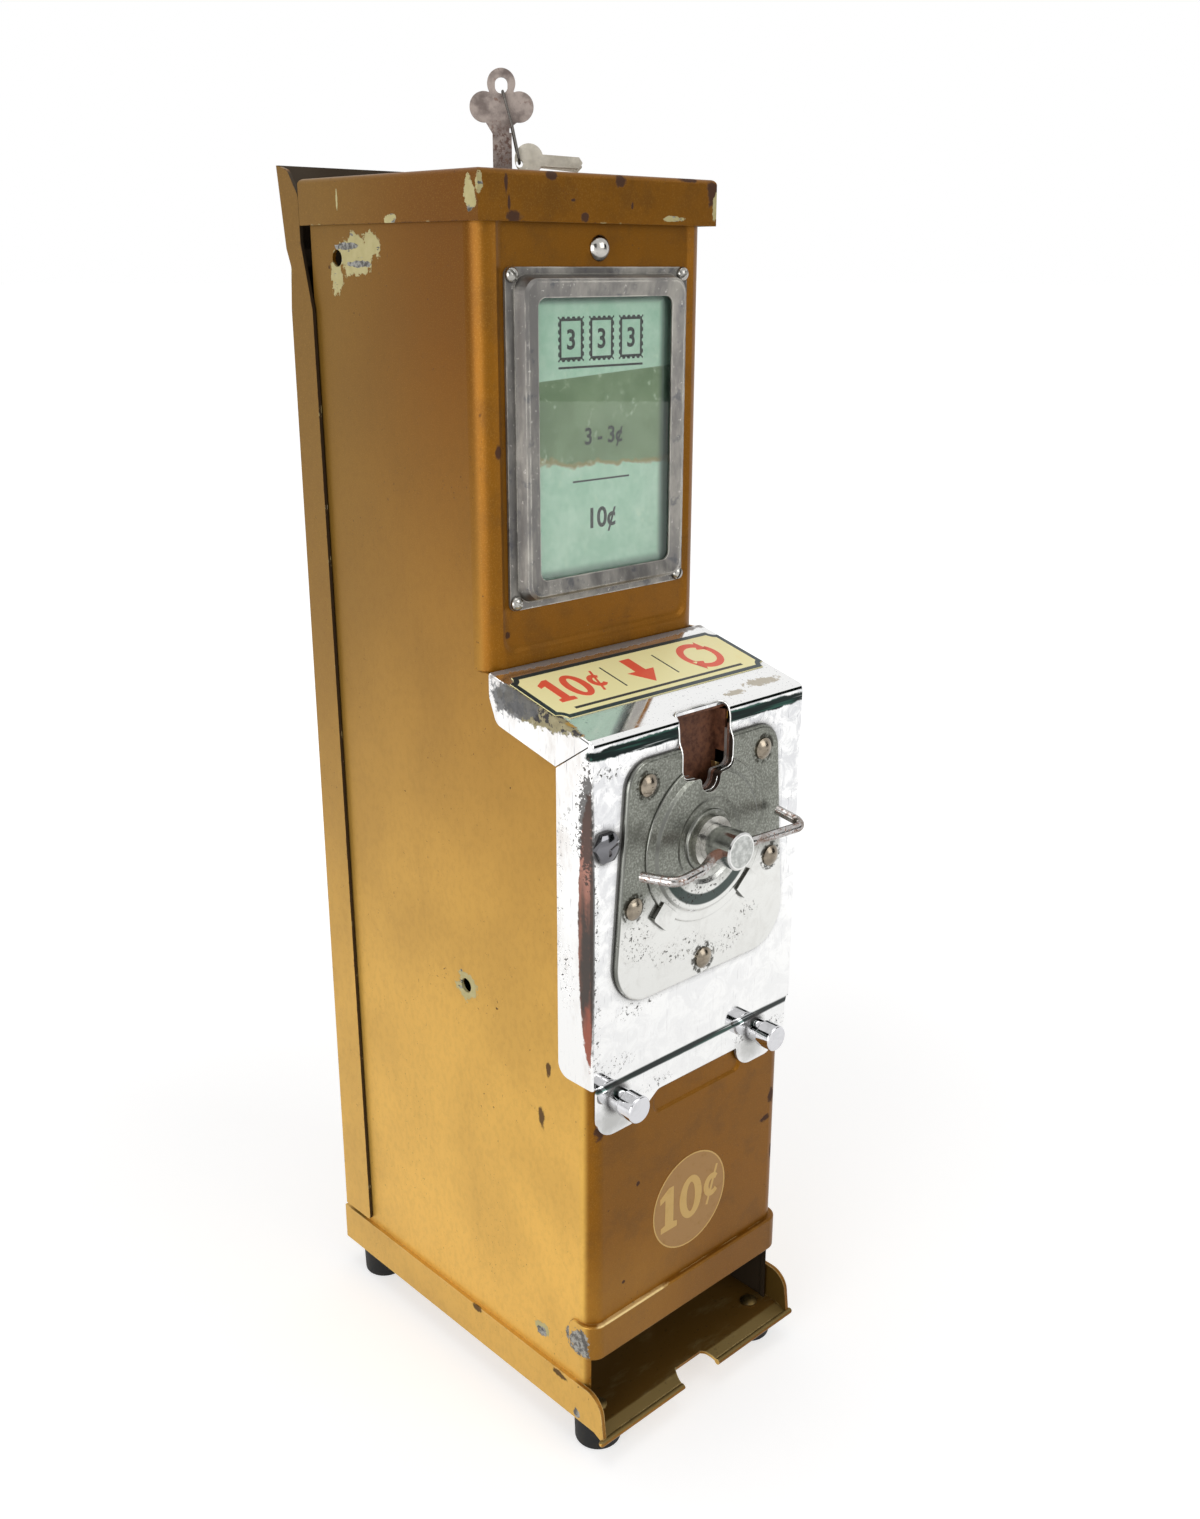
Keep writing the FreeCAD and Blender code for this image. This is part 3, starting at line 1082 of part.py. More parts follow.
def follower_weight():
    """Weight that presses the stack down; its tab shows in the slot and stops at its end."""
    gap = MAGAZINE_SHEET + WEIGHT_GAP
    bottom = TAB_SLOT_BOTTOM - WEIGHT_HEIGHT / 3
    block = slab("top", rectangle(MAGAZINE_LEFT + gap, MAGAZINE_RIGHT - gap, MAGAZINE_FRONT + gap,
                                  MAGAZINE_REAR - gap, 2.0), bottom, bottom + WEIGHT_HEIGHT)
    middle = (MAGAZINE_LEFT + MAGAZINE_RIGHT) / 2
    reach = TAB_SLOT_HALF - WEIGHT_GAP
    tab = box(middle - reach, middle + reach, MAGAZINE_FRONT - 1.2, MAGAZINE_FRONT + 6,
              TAB_SLOT_BOTTOM + SHEET_GAP, TAB_SLOT_BOTTOM + WEIGHT_HEIGHT / 3)
    return joined([block, tab])


def open_channel(points, x_low, x_high, shift_y, shift_z):
    """Chute with two side walls; its floor lies opposite to the way that the hollow is shifted."""
    solid = slab("side", points, x_low, x_high)
    hollow = slab("side", points, x_low + CHUTE_SHEET, x_high - CHUTE_SHEET)
    hollow.translate(V(0, shift_y, shift_z))
    return solid.cut(hollow)


def folder_chute():
    """Chute that turns a falling folder forward to the delivery mouth."""
    rear = MAGAZINE_REAR
    front = MAGAZINE_FRONT
    view = [(front, SHELF_TOP - 2), (rear, SHELF_TOP - 2), (rear, CHUTE_TURN + 7, CHUTE_REAR_BEND),
            (CHUTE_RUN, FLOOR_TOP, CHUTE_FLOOR_BEND), (CHUTE_NOSE, FLOOR_TOP),
            (CHUTE_NOSE, FLOOR_TOP + CHUTE_NOSE_RISE), (front, CHUTE_TURN - 8, CHUTE_FRONT_BEND)]
    return open_channel(view, CHUTE_LEFT, HALF_CASE - CASE_SHEET, -CHUTE_SHEET, CHUTE_SHEET)


def coin_chute():
    """Flat funnel under the coin wheel that leads left, then a channel back to the cash box."""
    front = LOWER_FRONT + CASE_SHEET
    back = front + CHUTE_DEPTH
    inner_front = front + CHUTE_SHEET
    inner_back = back - CHUTE_SHEET
    top = SHAFT_HEIGHT - WHEEL_RADIUS - 4
    left = -CHUTE_MIDDLE - COIN_RADIUS - 1
    right = -CHUTE_MIDDLE + COIN_RADIUS + 1
    funnel_view = [(FUNNEL_LEFT, top), (FUNNEL_RIGHT, top), (FUNNEL_RIGHT, top - FUNNEL_BRIM),
                   (right, FUNNEL_NECK), (right, CHUTE_TURN), (left, CHUTE_TURN),
                   (left, FUNNEL_NECK), (FUNNEL_LEFT, top - FUNNEL_BRIM)]
    hollow_view = Part.Face(outline("front", funnel_view, inner_front))
    hollow_view = hollow_view.makeOffset2D(-CHUTE_SHEET)
    hollow = hollow_view.extrude(V(0, inner_back - inner_front, 0))
    mouth = box(FUNNEL_LEFT + CHUTE_SHEET, FUNNEL_RIGHT - CHUTE_SHEET, inner_front, inner_back,
                top - 2, top + 1)
    throat = box(left + CHUTE_SHEET, right - CHUTE_SHEET, inner_front, inner_back,
                 CHUTE_TURN - 1, CHUTE_TURN + 2)
    funnel = slab("front", funnel_view, front, back).cut(hollow).cut(mouth).cut(throat)
    spout = CASH_FRONT + 8
    channel_view = [(front, CHUTE_TURN), (front, CHUTE_TURN - 6, 5.0), (spout, CASH_TOP - 4),
                    (spout + 7, CASH_TOP + 4), (back, CHUTE_TURN - 2), (back, CHUTE_TURN)]
    channel = open_channel(channel_view, left, right, CHUTE_SHEET, CHUTE_SHEET)
    return joined([funnel, channel])


def cash_box():
    left = -HALF_CASE + CASE_SHEET + 1
    right = CHUTE_LEFT - 1.5
    outer = slab("top", rectangle(left, right, CASH_FRONT, CASH_REAR, CASH_CORNER),
                 FLOOR_TOP, CASH_TOP)
    inner = slab("top", rectangle(left + CHUTE_SHEET, right - CHUTE_SHEET,
                                  CASH_FRONT + CHUTE_SHEET, CASH_REAR - CHUTE_SHEET,
                                  CASH_CORNER - CHUTE_SHEET),
                 FLOOR_TOP + CHUTE_SHEET, CASH_TOP + 1)
    return outer.cut(inner)


def ratchet_wheel():
    points = []
    for tooth in range(RATCHET_TEETH):
        start = 2 * math.pi * tooth / RATCHET_TEETH
        end = 2 * math.pi * (tooth + 0.92) / RATCHET_TEETH
        for radius, angle in ((RATCHET_RADIUS - RATCHET_DEPTH, start), (RATCHET_RADIUS, end)):
            points.append((radius * math.sin(angle), SHAFT_HEIGHT + radius * math.cos(angle)))
    wheel = slab("front", points, RATCHET_FRONT, RATCHET_FRONT + RATCHET_WIDTH)
    return wheel.cut(rod("front", 0, SHAFT_HEIGHT, SHAFT_RADIUS, 0, CASE_REAR))


def ratchet_pawl():
    x, z = PAWL_PIVOT
    hub = rod("front", x, z, PAWL_HUB, RATCHET_FRONT, RATCHET_FRONT + RATCHET_WIDTH)
    tip_radius = RATCHET_RADIUS + 0.9
    tip_angle = math.radians(PAWL_TIP_ANGLE)
    tip_x = tip_radius * math.cos(tip_angle)
    tip_z = SHAFT_HEIGHT + tip_radius * math.sin(tip_angle)
    arm = slab("front", [(x - 3.6, z - 1), (x + 3.0, z - 2), (tip_x + 2.6, tip_z - 1.6, 0.5),
                         (tip_x, tip_z - 0.6), (tip_x + 0.5, tip_z + 1.8)],
               RATCHET_FRONT, RATCHET_FRONT + RATCHET_WIDTH)
    pawl = joined([hub, arm])
    return pawl.cut(rod("front", x, z, PAWL_PIN_RADIUS + RUNNING_FIT, 0, CASE_REAR))


def pawl_pin():
    return rod("front", PAWL_PIVOT[0], PAWL_PIVOT[1], PAWL_PIN_RADIUS, COVER_SHEET, FRAME_REAR)


# ------------------------------------------------------------------ lock and keys


def lock_body():
    top = CASE_TOP + CASE_SHEET
    barrel = rod("top", 0, LOCK_PLACE, LOCK_RADIUS, top - LOCK_DEPTH, top)
    flange = rod("top", 0, LOCK_PLACE, LOCK_RADIUS + 1.7, top, top + LOCK_FLANGE)
    rim = [edge for edge in flange.Edges if edge.BoundBox.ZMin > top + LOCK_FLANGE - 0.01]
    flange = flange.makeFillet(0.7, rim)
    return joined([barrel, flange]).cut(rod("top", 0, LOCK_PLACE, PLUG_RADIUS + RUNNING_FIT,
                                            0, CASE_TOP + 20))


def lock_nut():
    nut = slab("top", hexagon(0, LOCK_PLACE, NUT_RADIUS), CASE_TOP - NUT_THICKNESS, CASE_TOP)
    return nut.cut(rod("top", 0, LOCK_PLACE, LOCK_RADIUS, 0, CASE_TOP + 1))


def keyed(shape):
    """Turn a piece drawn in the key's own front view into its place over the lock."""
    shape.rotate(V(0, 0, 0), V(0, 0, 1), KEY_TURN)
    shape.translate(V(0, LOCK_PLACE, 0))
    return shape


def lock_plug():
    top = CASE_TOP + CASE_SHEET + LOCK_FLANGE
    plug = rod("top", 0, LOCK_PLACE, PLUG_RADIUS, top - LOCK_FLANGE - LOCK_DEPTH - 4, top - 0.2)
    keyway = box(-KEY_HALF - KEY_GAP, KEY_HALF + KEY_GAP, -KEY_THICKNESS / 2 - KEY_GAP,
                 KEY_THICKNESS / 2 + KEY_GAP, KEY_TIP - 1, top + 1)
    return plug.cut(keyed(keyway))


def lock_cam():
    """Arm on the plug's lower end, with a lug that stands in the door's hook."""
    base = CASE_TOP + CASE_SHEET - LOCK_DEPTH - 4
    heel = -CAM_HALF - 1
    arm = slab("top", [(heel, LOCK_PLACE - CAM_HALF, 5.0),
                       (CAM_REACH, LOCK_PLACE - CAM_TIP_HALF, 3.0),
                       (CAM_REACH, LOCK_PLACE + CAM_TIP_HALF, 3.0),
                       (heel, LOCK_PLACE + CAM_HALF, 5.0)], base, base + CAM_THICKNESS)
    lug = box(CAM_REACH - CAM_LUG_DEPTH, CAM_REACH, LOCK_PLACE - CAM_LUG_HALF,
              LOCK_PLACE + CAM_LUG_HALF, HOOK_HEIGHT + 4, base + 1)
    cam = joined([arm, lug])
    return cam.cut(rod("top", 0, LOCK_PLACE, PLUG_RADIUS, 0, CASE_TOP))


def main_key():
    """Flat key: three-lobed bow with an eye, a short neck and a blade cut on one edge."""
    half = KEY_THICKNESS / 2
    blade = slab("front", rectangle(-KEY_HALF, KEY_HALF, KEY_TIP, BOW_HEIGHT - 8.0), -half, half)
    neck = slab("front", [(-KEY_HALF, BOW_HEIGHT - 8.2), (KEY_HALF - 0.7, BOW_HEIGHT - 8.2),
                          (KEY_HALF - 0.7, BOW_HEIGHT - 6.6, 0.5), (5.6, BOW_HEIGHT - 4.4),
                          (6.0, BOW_HEIGHT), (4.0, BOW_HEIGHT + 5), (-4.0, BOW_HEIGHT + 5),
                          (-6.0, BOW_HEIGHT), (-5.6, BOW_HEIGHT - 4.4)], -half, half)
    lobes = [rod("front", side * BOW_LOBE_PLACE, BOW_HEIGHT, BOW_HALF - BOW_LOBE_PLACE, -half, half)
             for side in (-1, 1)]
    crown = rod("front", 0, BOW_TOP - BOW_CROWN, BOW_CROWN, -half, half)
    key = joined([blade, neck, crown] + lobes)
    eye = slab("front", rectangle(-2.1, 2.1, EYE_BOTTOM, BOW_TOP - 2.8, 2.0), -2, 2)
    key = key.cut(eye)
    for cut in range(5):
        middle = KEY_TIP + 3.0 + KEY_NOTCH_PITCH * cut
        depth = 0.8 + 0.5 * ((cut * 2) % 3)
        key = key.cut(slab("front", [(KEY_HALF + 1, middle - 1.6), (KEY_HALF - depth, middle - 0.4),
                                     (KEY_HALF - depth, middle + 0.4), (KEY_HALF + 1, middle + 1.6)],
                           -2, 2))
    return keyed(key)


def wire_loop():
    """Closed loop of thin wire through the key's eye and the holes of the spare keys."""
    top = EYE_BOTTOM + WIRE_RADIUS + 0.15
    corners = [(V(0.4, 2.2, top), 0.8), (V(0.4, -2.2, top), 0.8),
               (V(3.4, -LOOP_HALF, top - 11), 8.0),
               (V(LOOP_FOOT[0], -LOOP_HALF, LOOP_FOOT[1]), 1.6),
               (V(LOOP_FOOT[0], LOOP_HALF, LOOP_FOOT[1]), 1.6),
               (V(3.4, LOOP_HALF, top - 11), 8.0)]
    path = rounded_path(corners, True)
    first = path.OrderedEdges[0]
    start = first.valueAt(first.FirstParameter)
    section = Part.Wire(Part.makeCircle(WIRE_RADIUS, start, first.tangentAt(first.FirstParameter)))
    return keyed(path.makePipeShell([section], True, True))


def spare_key(side, lean):
    """Small flat key that hangs on the loop, its blade pointing to the right."""
    low = side * SPARE_GAP - (SPARE_THICKNESS if side < 0 else 0)
    high = low + SPARE_THICKNESS
    foot_x, foot_z = LOOP_FOOT
    bow = rod("front", 3.1, 1.6, SPARE_BOW, low, high)
    shoulder = SPARE_LENGTH - 1.4
    blade = slab("front", [(5, 3.2), (shoulder, 3.0), (SPARE_LENGTH, 1.2, 0.6), (shoulder, -0.6),
                           (5, -0.6)], low, high)
    key = joined([bow, blade]).cut(rod("front", 0, -0.2, WIRE_RADIUS + 0.75, low - 1, high + 1))
    key.rotate(V(0, 0, 0), V(0, 1, 0), lean)
    key.translate(V(foot_x, 0, foot_z))
    return keyed(key)


# ------------------------------------------------------------------ build


def all_parts():
    parts = {
        "case_shell": case_shell(),
        "base_tray": base_tray(),
        "front_rail": front_rail(),
        "coin_cover": coin_cover(),
        "slope_label": slope_label(),
        "face_plate": face_plate(),
        "face_rivets": face_rivets(),
        "side_bolt": side_bolt(),
        "cover_studs": cover_studs(),
        "window_bezel": window_bezel(),
        "window_glass": window_glass(),
        "price_card": price_card(),
        "bezel_screws": bezel_screws(),
        "top_cap": top_cap(),
        "cap_bracket": cap_bracket(),
        "cap_screw": cap_screw(),
        "rear_door": rear_door(),
        "door_hook": door_hook(),
        "foot_screws": group([foot_screw(x, y) for x, y in foot_places().values()]),
        "handle_shaft": handle_shaft(),
        "handle_rod": handle_rod(),
        "shaft_bush_front": shaft_bush(BUSH_FRONT, COVER_SHEET + FRAME_SHEET),
        "shaft_bush_rear": shaft_bush(FRAME_REAR - FRAME_SHEET - 0.8, FRAME_REAR + 0.8),
        "mechanism_frame": mechanism_frame(),
        "coin_cup": coin_cup(),
        "coin_wheel": coin_wheel(),
        "drive_pinion": drive_pinion(),
        "ratchet_wheel": ratchet_wheel(),
        "ratchet_pawl": ratchet_pawl(),
        "pawl_pin": pawl_pin(),
        "ejector_rack": ejector_rack(),
        "ejector_blade": ejector_blade(),
        "folder_shelf": folder_shelf(),
        "magazine": magazine(),
        "follower_weight": follower_weight(),
        "folder_chute": folder_chute(),
        "coin_chute": coin_chute(),
        "cash_box": cash_box(),
        "lock_body": lock_body(),
        "lock_nut": lock_nut(),
        "lock_plug": lock_plug(),
        "lock_cam": lock_cam(),
        "main_key": main_key(),
        "wire_loop": wire_loop(),
        "spare_key_front": spare_key(-1, 3.0),
        "spare_key_rear": spare_key(1, 6.0),
    }
    for place, (x, y) in foot_places().items():
        parts["foot_" + place] = rubber_foot(x, y)
    return parts


def origin_shift(parts):
    """Move along Y that brings the origin under the middle of the machine."""
    whole = Part.makeCompound(list(parts.values())).BoundBox
    return V(0, -(whole.YMin + whole.YMax) / 2, 0)


def main():
    os.makedirs("parts", exist_ok=True)
    parts = all_parts()
    shift = origin_shift(parts)
    for name, shape in parts.items():
        shape.translate(shift)
        shape.exportStep("parts/" + name + ".step")


main()
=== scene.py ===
"""Looks of a counter-top stamp vending machine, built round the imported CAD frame.

Lengths are metres in the frame of the CAD: +X to a buyer's right, +Y to the rear, +Z up.
Places given to at(), spot() and ring() are millimetres from the middle plane, the cover's
front and the counter.
"""

import math

import bmesh
import bpy
from mathutils import Matrix, Vector


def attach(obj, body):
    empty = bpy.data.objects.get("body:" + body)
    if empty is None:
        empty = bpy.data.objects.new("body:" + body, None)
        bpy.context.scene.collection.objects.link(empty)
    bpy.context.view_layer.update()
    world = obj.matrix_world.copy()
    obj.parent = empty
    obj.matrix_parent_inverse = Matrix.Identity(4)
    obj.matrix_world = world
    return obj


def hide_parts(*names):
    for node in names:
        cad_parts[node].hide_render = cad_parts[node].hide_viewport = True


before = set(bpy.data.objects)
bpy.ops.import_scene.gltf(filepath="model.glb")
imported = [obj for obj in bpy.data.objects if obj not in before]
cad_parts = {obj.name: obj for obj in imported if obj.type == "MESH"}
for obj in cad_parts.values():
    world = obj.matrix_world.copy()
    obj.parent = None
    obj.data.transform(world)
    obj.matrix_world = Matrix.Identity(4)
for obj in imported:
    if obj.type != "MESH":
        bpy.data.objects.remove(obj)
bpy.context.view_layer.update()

MM = 0.001
SHIFT_Y = -67.753        # the CAD's y = 0 is the cover's front moved by this many millimetres


def depth(y):
    """Metres along the CAD's Y of a place y millimetres behind the cover's front."""
    return (y + SHIFT_Y) * MM


def at(x, y, z):
    """Point given in millimetres from the middle plane, the cover's front and the counter."""
    return Vector((x * MM, depth(y), z * MM))


def toned(share, colour):
    """Darker or lighter shade of a colour."""
    return tuple(share * part for part in colour)


# ---- camera and lights

CAMERA_PLACE = at(-344.6, -314.5, 413.0)
CAMERA_RIGHT = Vector((0.72747857, -0.68612811, 0.00177534))
CAMERA_UP = Vector((0.21716091, 0.23270131, 0.94799327))
CAMERA_AHEAD = Vector((0.65085795, 0.68925925, -0.31828542))
FOCAL_PIXELS = 1474.4
FRAME_HEIGHT = 1519
SENSOR = 36.0
CLIP = (0.01, 100.0)
SKY_LIGHT = 0.36

# Name, place, aim, width, height and power
LIGHTS = [
    ("key", (-1.3, -0.35, 0.4), (0, 0, 0.15), 1.0, 0.8, 11),
    ("front", (0.4, -1.4, 0.9), (0, 0, 0.2), 0.9, 0.9, 6),
    ("top", (-0.1, 0.1, 1.6), (0, 0, 0.2), 1.0, 1.0, 6)]


def make_camera():
    data = bpy.data.cameras.new("camera")
    data.sensor_width = SENSOR
    data.lens = FOCAL_PIXELS * SENSOR / FRAME_HEIGHT
    data.clip_start, data.clip_end = CLIP
    camera = bpy.data.objects.new("camera", data)
    bpy.context.collection.objects.link(camera)
    turn = Matrix((CAMERA_RIGHT, CAMERA_UP, -CAMERA_AHEAD)).transposed().to_4x4()
    camera.matrix_world = Matrix.Translation(CAMERA_PLACE) @ turn
    bpy.context.scene.camera = camera


def area_light(name, place, aim, width, height, power):
    data = bpy.data.lights.new(name, "AREA")
    data.shape = "RECTANGLE"
    data.size = width
    data.size_y = height
    data.energy = power
    light = bpy.data.objects.new(name, data)
    light.location = place
    light.rotation_euler = (Vector(aim) - Vector(place)).to_track_quat("-Z", "Y").to_euler()
    bpy.context.collection.objects.link(light)


# ---- materials from nodes


class Finish:
    """One node material with a Principled shader, and short names for the nodes it needs."""

    def __init__(self, name):
        self.material = bpy.data.materials.new(name)
        self.material.use_nodes = True
        self.tree = self.material.node_tree
        self.tree.nodes.clear()
        self.output = self.tree.nodes.new("ShaderNodeOutputMaterial")
        self.shader = self.tree.nodes.new("ShaderNodeBsdfPrincipled")
        self.tree.links.new(self.shader.outputs[0], self.output.inputs["Surface"])
        self.place = self.tree.nodes.new("ShaderNodeTexCoord").outputs["Object"]
        self.normal = None
        self.colour = None

    def put(self, socket, value):
        """Sets a socket to a number, colour or vector, or links another socket to it."""
        if isinstance(value, bpy.types.NodeSocket):
            self.tree.links.new(value, socket)
        elif socket.type == "RGBA":
            socket.default_value = (*value[:3], 1.0)
        else:
            socket.default_value = value

    def set(self, **values):
        """Sets the shader's inputs; its base colour is the colour so far unless one is given."""
        values.setdefault("Base_Color", self.colour)
        for name, value in values.items():
            self.put(self.shader.inputs[name.replace("_", " ")], value)

    def node(self, kind, inputs, output, **settings):
        node = self.tree.nodes.new(kind)
        for name, value in settings.items():
            setattr(node, name, value)
        for name, value in inputs.items():
            self.put(node.inputs[name], value)
        return node.outputs[output]

    def moved(self, scale, shift=(0, 0, 0)):
        return self.node("ShaderNodeMapping", {"Vector": self.place, "Scale": scale,
                                               "Location": shift}, 0)

    def noise(self, size, detail=3.0, rough=0.55, vector=None, swirl=0.0):
        """Noise of 0 to 1 whose lumps are about `size` millimetres across."""
        return self.node("ShaderNodeTexNoise",
                         {"Vector": vector or self.place, "Scale": 1000.0 / size,
                          "Detail": detail, "Roughness": rough, "Distortion": swirl}, 0)

    def step(self, value, low, high, to_low=0.0, to_high=1.0):
        """Smooth rise from one value to another while `value` goes from low to high."""
        return self.node("ShaderNodeMapRange",
                         {"Value": value, "From Min": low, "From Max": high,
                          "To Min": to_low, "To Max": to_high}, 0, interpolation_type="SMOOTHSTEP")

    def clumps(self, size, detail, rough, low, high, stretch=None, swirl=0.0):
        """0 to 1 where noise rises from low to high, drawn out along the axes of `stretch`."""
        vector = self.moved(stretch) if stretch else None
        return self.step(self.noise(size, detail, rough, vector, swirl), low, high)

    def sums(self, operation, a, b):
        return self.node("ShaderNodeMath", {0: a, 1: b}, 0, operation=operation)

    def inverse(self, value):
        return self.sums("SUBTRACT", 1.0, value)

    def times(self, *values):
        result = values[0]
        for value in values[1:]:
            result = self.sums("MULTIPLY", result, value)
        return result

    def most(self, *values):
        result = values[0]
        for value in values[1:]:
            result = self.sums("MAXIMUM", result, value)
        return result

    def vector(self, operation, a, b):
        return self.node("ShaderNodeVectorMath", {0: a, 1: b}, 0, operation=operation)

    def length(self, a):
        return self.node("ShaderNodeVectorMath", {0: a}, "Value", operation="LENGTH")

    def mix(self, share, a, b):
        return self.node("ShaderNodeMix", {"Factor": share, 6: a, 7: b}, 2, data_type="RGBA")

    def blend(self, share, a, b):
        return self.node("ShaderNodeMix", {"Factor": share, 2: a, 3: b}, 0, data_type="FLOAT")

    def over(self, tone, *shares):
        """Lays a tone over the colour so far, as much as the product of the shares."""
        self.colour = self.mix(self.times(*shares), self.colour, tone)

    def axis(self, name):
        return self.node("ShaderNodeSeparateXYZ", {"Vector": self.place}, name)

    def facing(self, name):
        normal = self.node("ShaderNodeNewGeometry", {}, "Normal")
        return self.node("ShaderNodeSeparateXYZ", {"Vector": normal}, name)

    def uneven_height(self, noise, sway, slope):
        """Height in metres, made uneven by noise and sloped along X."""
        wave = self.times(self.sums("SUBTRACT", noise, 0.5), sway)
        slant = self.times(self.axis("X"), slope)
        return self.sums("ADD", self.sums("ADD", self.axis("Z"), wave), slant)

    def edges(self, radius, low, high):
        """Share of 1 at a piece's sharp edges, fading over a few tenths of a millimetre."""
        soft = self.node("ShaderNodeBevel", {"Radius": radius * MM}, 0, samples=4)
        true = self.node("ShaderNodeNewGeometry", {}, "True Normal")
        dot = self.node("ShaderNodeVectorMath", {0: soft, 1: true}, "Value",
                        operation="DOT_PRODUCT")
        return self.step(self.inverse(dot), low, high)

    def corners(self, reach, open_share=0.86, dark_share=0.45):
        """Share of 1 in corners and along joints, as wide as `reach` millimetres, from ambient
        occlusion; the finishes lay painted shade there.
        """
        light = self.node("ShaderNodeAmbientOcclusion", {"Distance": reach * MM}, "AO", samples=6)
        return self.step(light, open_share, dark_share)

    def spot(self, centre, radii, ragged, size, soft):
        """Ragged patch about a point (all in millimetres): 1 inside and 0 outside."""
        away = self.vector("SUBTRACT", self.place, at(*centre))
        distance = self.length(self.vector("MULTIPLY", away, tuple(1000.0 / r for r in radii)))
        wobble = self.node("ShaderNodeMath", {0: self.noise(size, 6.0, 0.68), 1: ragged * 4.0,
                                              2: -2.0 * ragged}, 0, operation="MULTIPLY_ADD")
        return self.step(self.sums("ADD", distance, wobble), 1.0 + soft, 1.0 - soft)

    def spots(self, places, *shape):
        """Several spots of one kind, each given by its centre and radii."""
        return self.most(0.0, *(self.spot(*place, *shape) for place in places))

    def ring(self, centre, inner, outer, soft):
        """1 between two radii (millimetres) round an axis along Y through a point."""
        away = self.vector("SUBTRACT", self.place, at(*centre))
        radius = self.length(self.vector("MULTIPLY", away, (1.0, 0.0, 1.0)))
        return self.times(self.step(radius, (inner - soft) * MM, inner * MM),
                          self.step(radius, (outer + soft) * MM, outer * MM))

    def bump(self, height, distance, strength):
        """Adds relief of `distance` millimetres to what the shader already has."""
        inputs = {"Height": height, "Distance": distance * MM, "Strength": strength}
        if self.normal is not None:
            inputs["Normal"] = self.normal
        self.normal = self.node("ShaderNodeBump", inputs, 0)
        self.put(self.shader.inputs["Normal"], self.normal)


# ---- floor and background

FLOOR_GLOW = 0.6
FAR_GLOW = 0.84
FLOOR_TONE = 0.55
FLOOR_SIZE = 60.0
FLOOR_DROP = 0.0002            # metres below the feet
CLEAR_FLOOR = (0.2, 0.7)     # metres from the middle over which the floor turns plain white
CARD_TONE = (0.012, 0.02, 0.016)

# Name, place, width and height
CARDS = [
    ("card_right", (2.1, -2.2, 0.86), 1.5, 1.5),
    ("card_behind_camera", (-2.1, -2.2, 1.5), 1.5, 1.7),
    ("card_rear_left", (-2.6, 1.4, 1.2), 0.7, 2.0)]


def rays_that_see(tree):
    """1 for camera, mirror and glass rays, which all show the white background."""
    rays = tree.nodes.new("ShaderNodeLightPath")
    seen = rays.outputs["Is Camera Ray"]
    for name in ("Is Glossy Ray", "Is Transmission Ray"):
        both = tree.nodes.new("ShaderNodeMath")
        both.operation = "MAXIMUM"
        tree.links.new(seen, both.inputs[0])
        tree.links.new(rays.outputs[name], both.inputs[1])
        seen = both.outputs[0]
    return seen


def plain_floor():
    """White floor that keeps the shadow and fades into the white background."""
    finish = Finish("floor_white")
    finish.set(Base_Color=(FLOOR_TONE,) * 3, Roughness=0.9, Specular_IOR_Level=0.1)
    whiter = finish.step(finish.length(finish.place), *CLEAR_FLOOR, FLOOR_GLOW, FAR_GLOW)
    strength = finish.times(rays_that_see(finish.tree), whiter)
    glow = finish.node("ShaderNodeEmission", {"Strength": strength}, 0)
    both = finish.node("ShaderNodeAddShader", {}, 0)
    finish.tree.links.new(finish.shader.outputs[0], both.node.inputs[0])
    finish.tree.links.new(glow, both.node.inputs[1])
    finish.tree.links.new(both, finish.output.inputs["Surface"])
    bpy.ops.mesh.primitive_plane_add(size=FLOOR_SIZE, location=(0, 0, -FLOOR_DROP))
    floor = bpy.context.object
    floor.name = "floor"
    floor.data.materials.append(finish.material)


def dark_card(name, place, width, height):
    """Upright dark card that only polished surfaces see, facing the object."""
    finish = Finish(name)
    finish.set(Base_Color=CARD_TONE, Roughness=0.9, Specular_IOR_Level=0.0)
    bpy.ops.mesh.primitive_plane_add(size=1.0, location=place)
    card = bpy.context.object
    card.name = name
    card.scale = (width, height, 1.0)
    inward = Vector((0, 0, place[2])) - Vector(place)
    card.rotation_euler = inward.to_track_quat("Z", "Y").to_euler()
    card.data.materials.append(finish.material)
    card.visible_camera = False
    card.visible_diffuse = False
    card.visible_shadow = False
    card.visible_transmission = False


def world_light():
    """White to the rays that see the background, and a softer white as light."""
    world = bpy.data.worlds.new("studio")
    world.use_nodes = True
    bpy.context.scene.world = world
    tree = world.node_tree
    tree.nodes.clear()
    output = tree.nodes.new("ShaderNodeOutputWorld")
    mix = tree.nodes.new("ShaderNodeMixShader")
    for slot, strength in ((1, SKY_LIGHT), (2, 1.0)):
        light = tree.nodes.new("ShaderNodeBackground")
        light.inputs["Color"].default_value = (1, 1, 1, 1)
        light.inputs["Strength"].default_value = strength
        tree.links.new(light.outputs[0], mix.inputs[slot])
    tree.links.new(rays_that_see(tree), mix.inputs[0])
    tree.links.new(mix.outputs[0], output.inputs["Surface"])


make_camera()
plain_floor()
world_light()
for card_row in CARDS:
    dark_card(*card_row)
for light_row in LIGHTS:
    area_light(*light_row)
bpy.context.scene.view_settings.view_transform = "Standard"

# ---- gold enamel

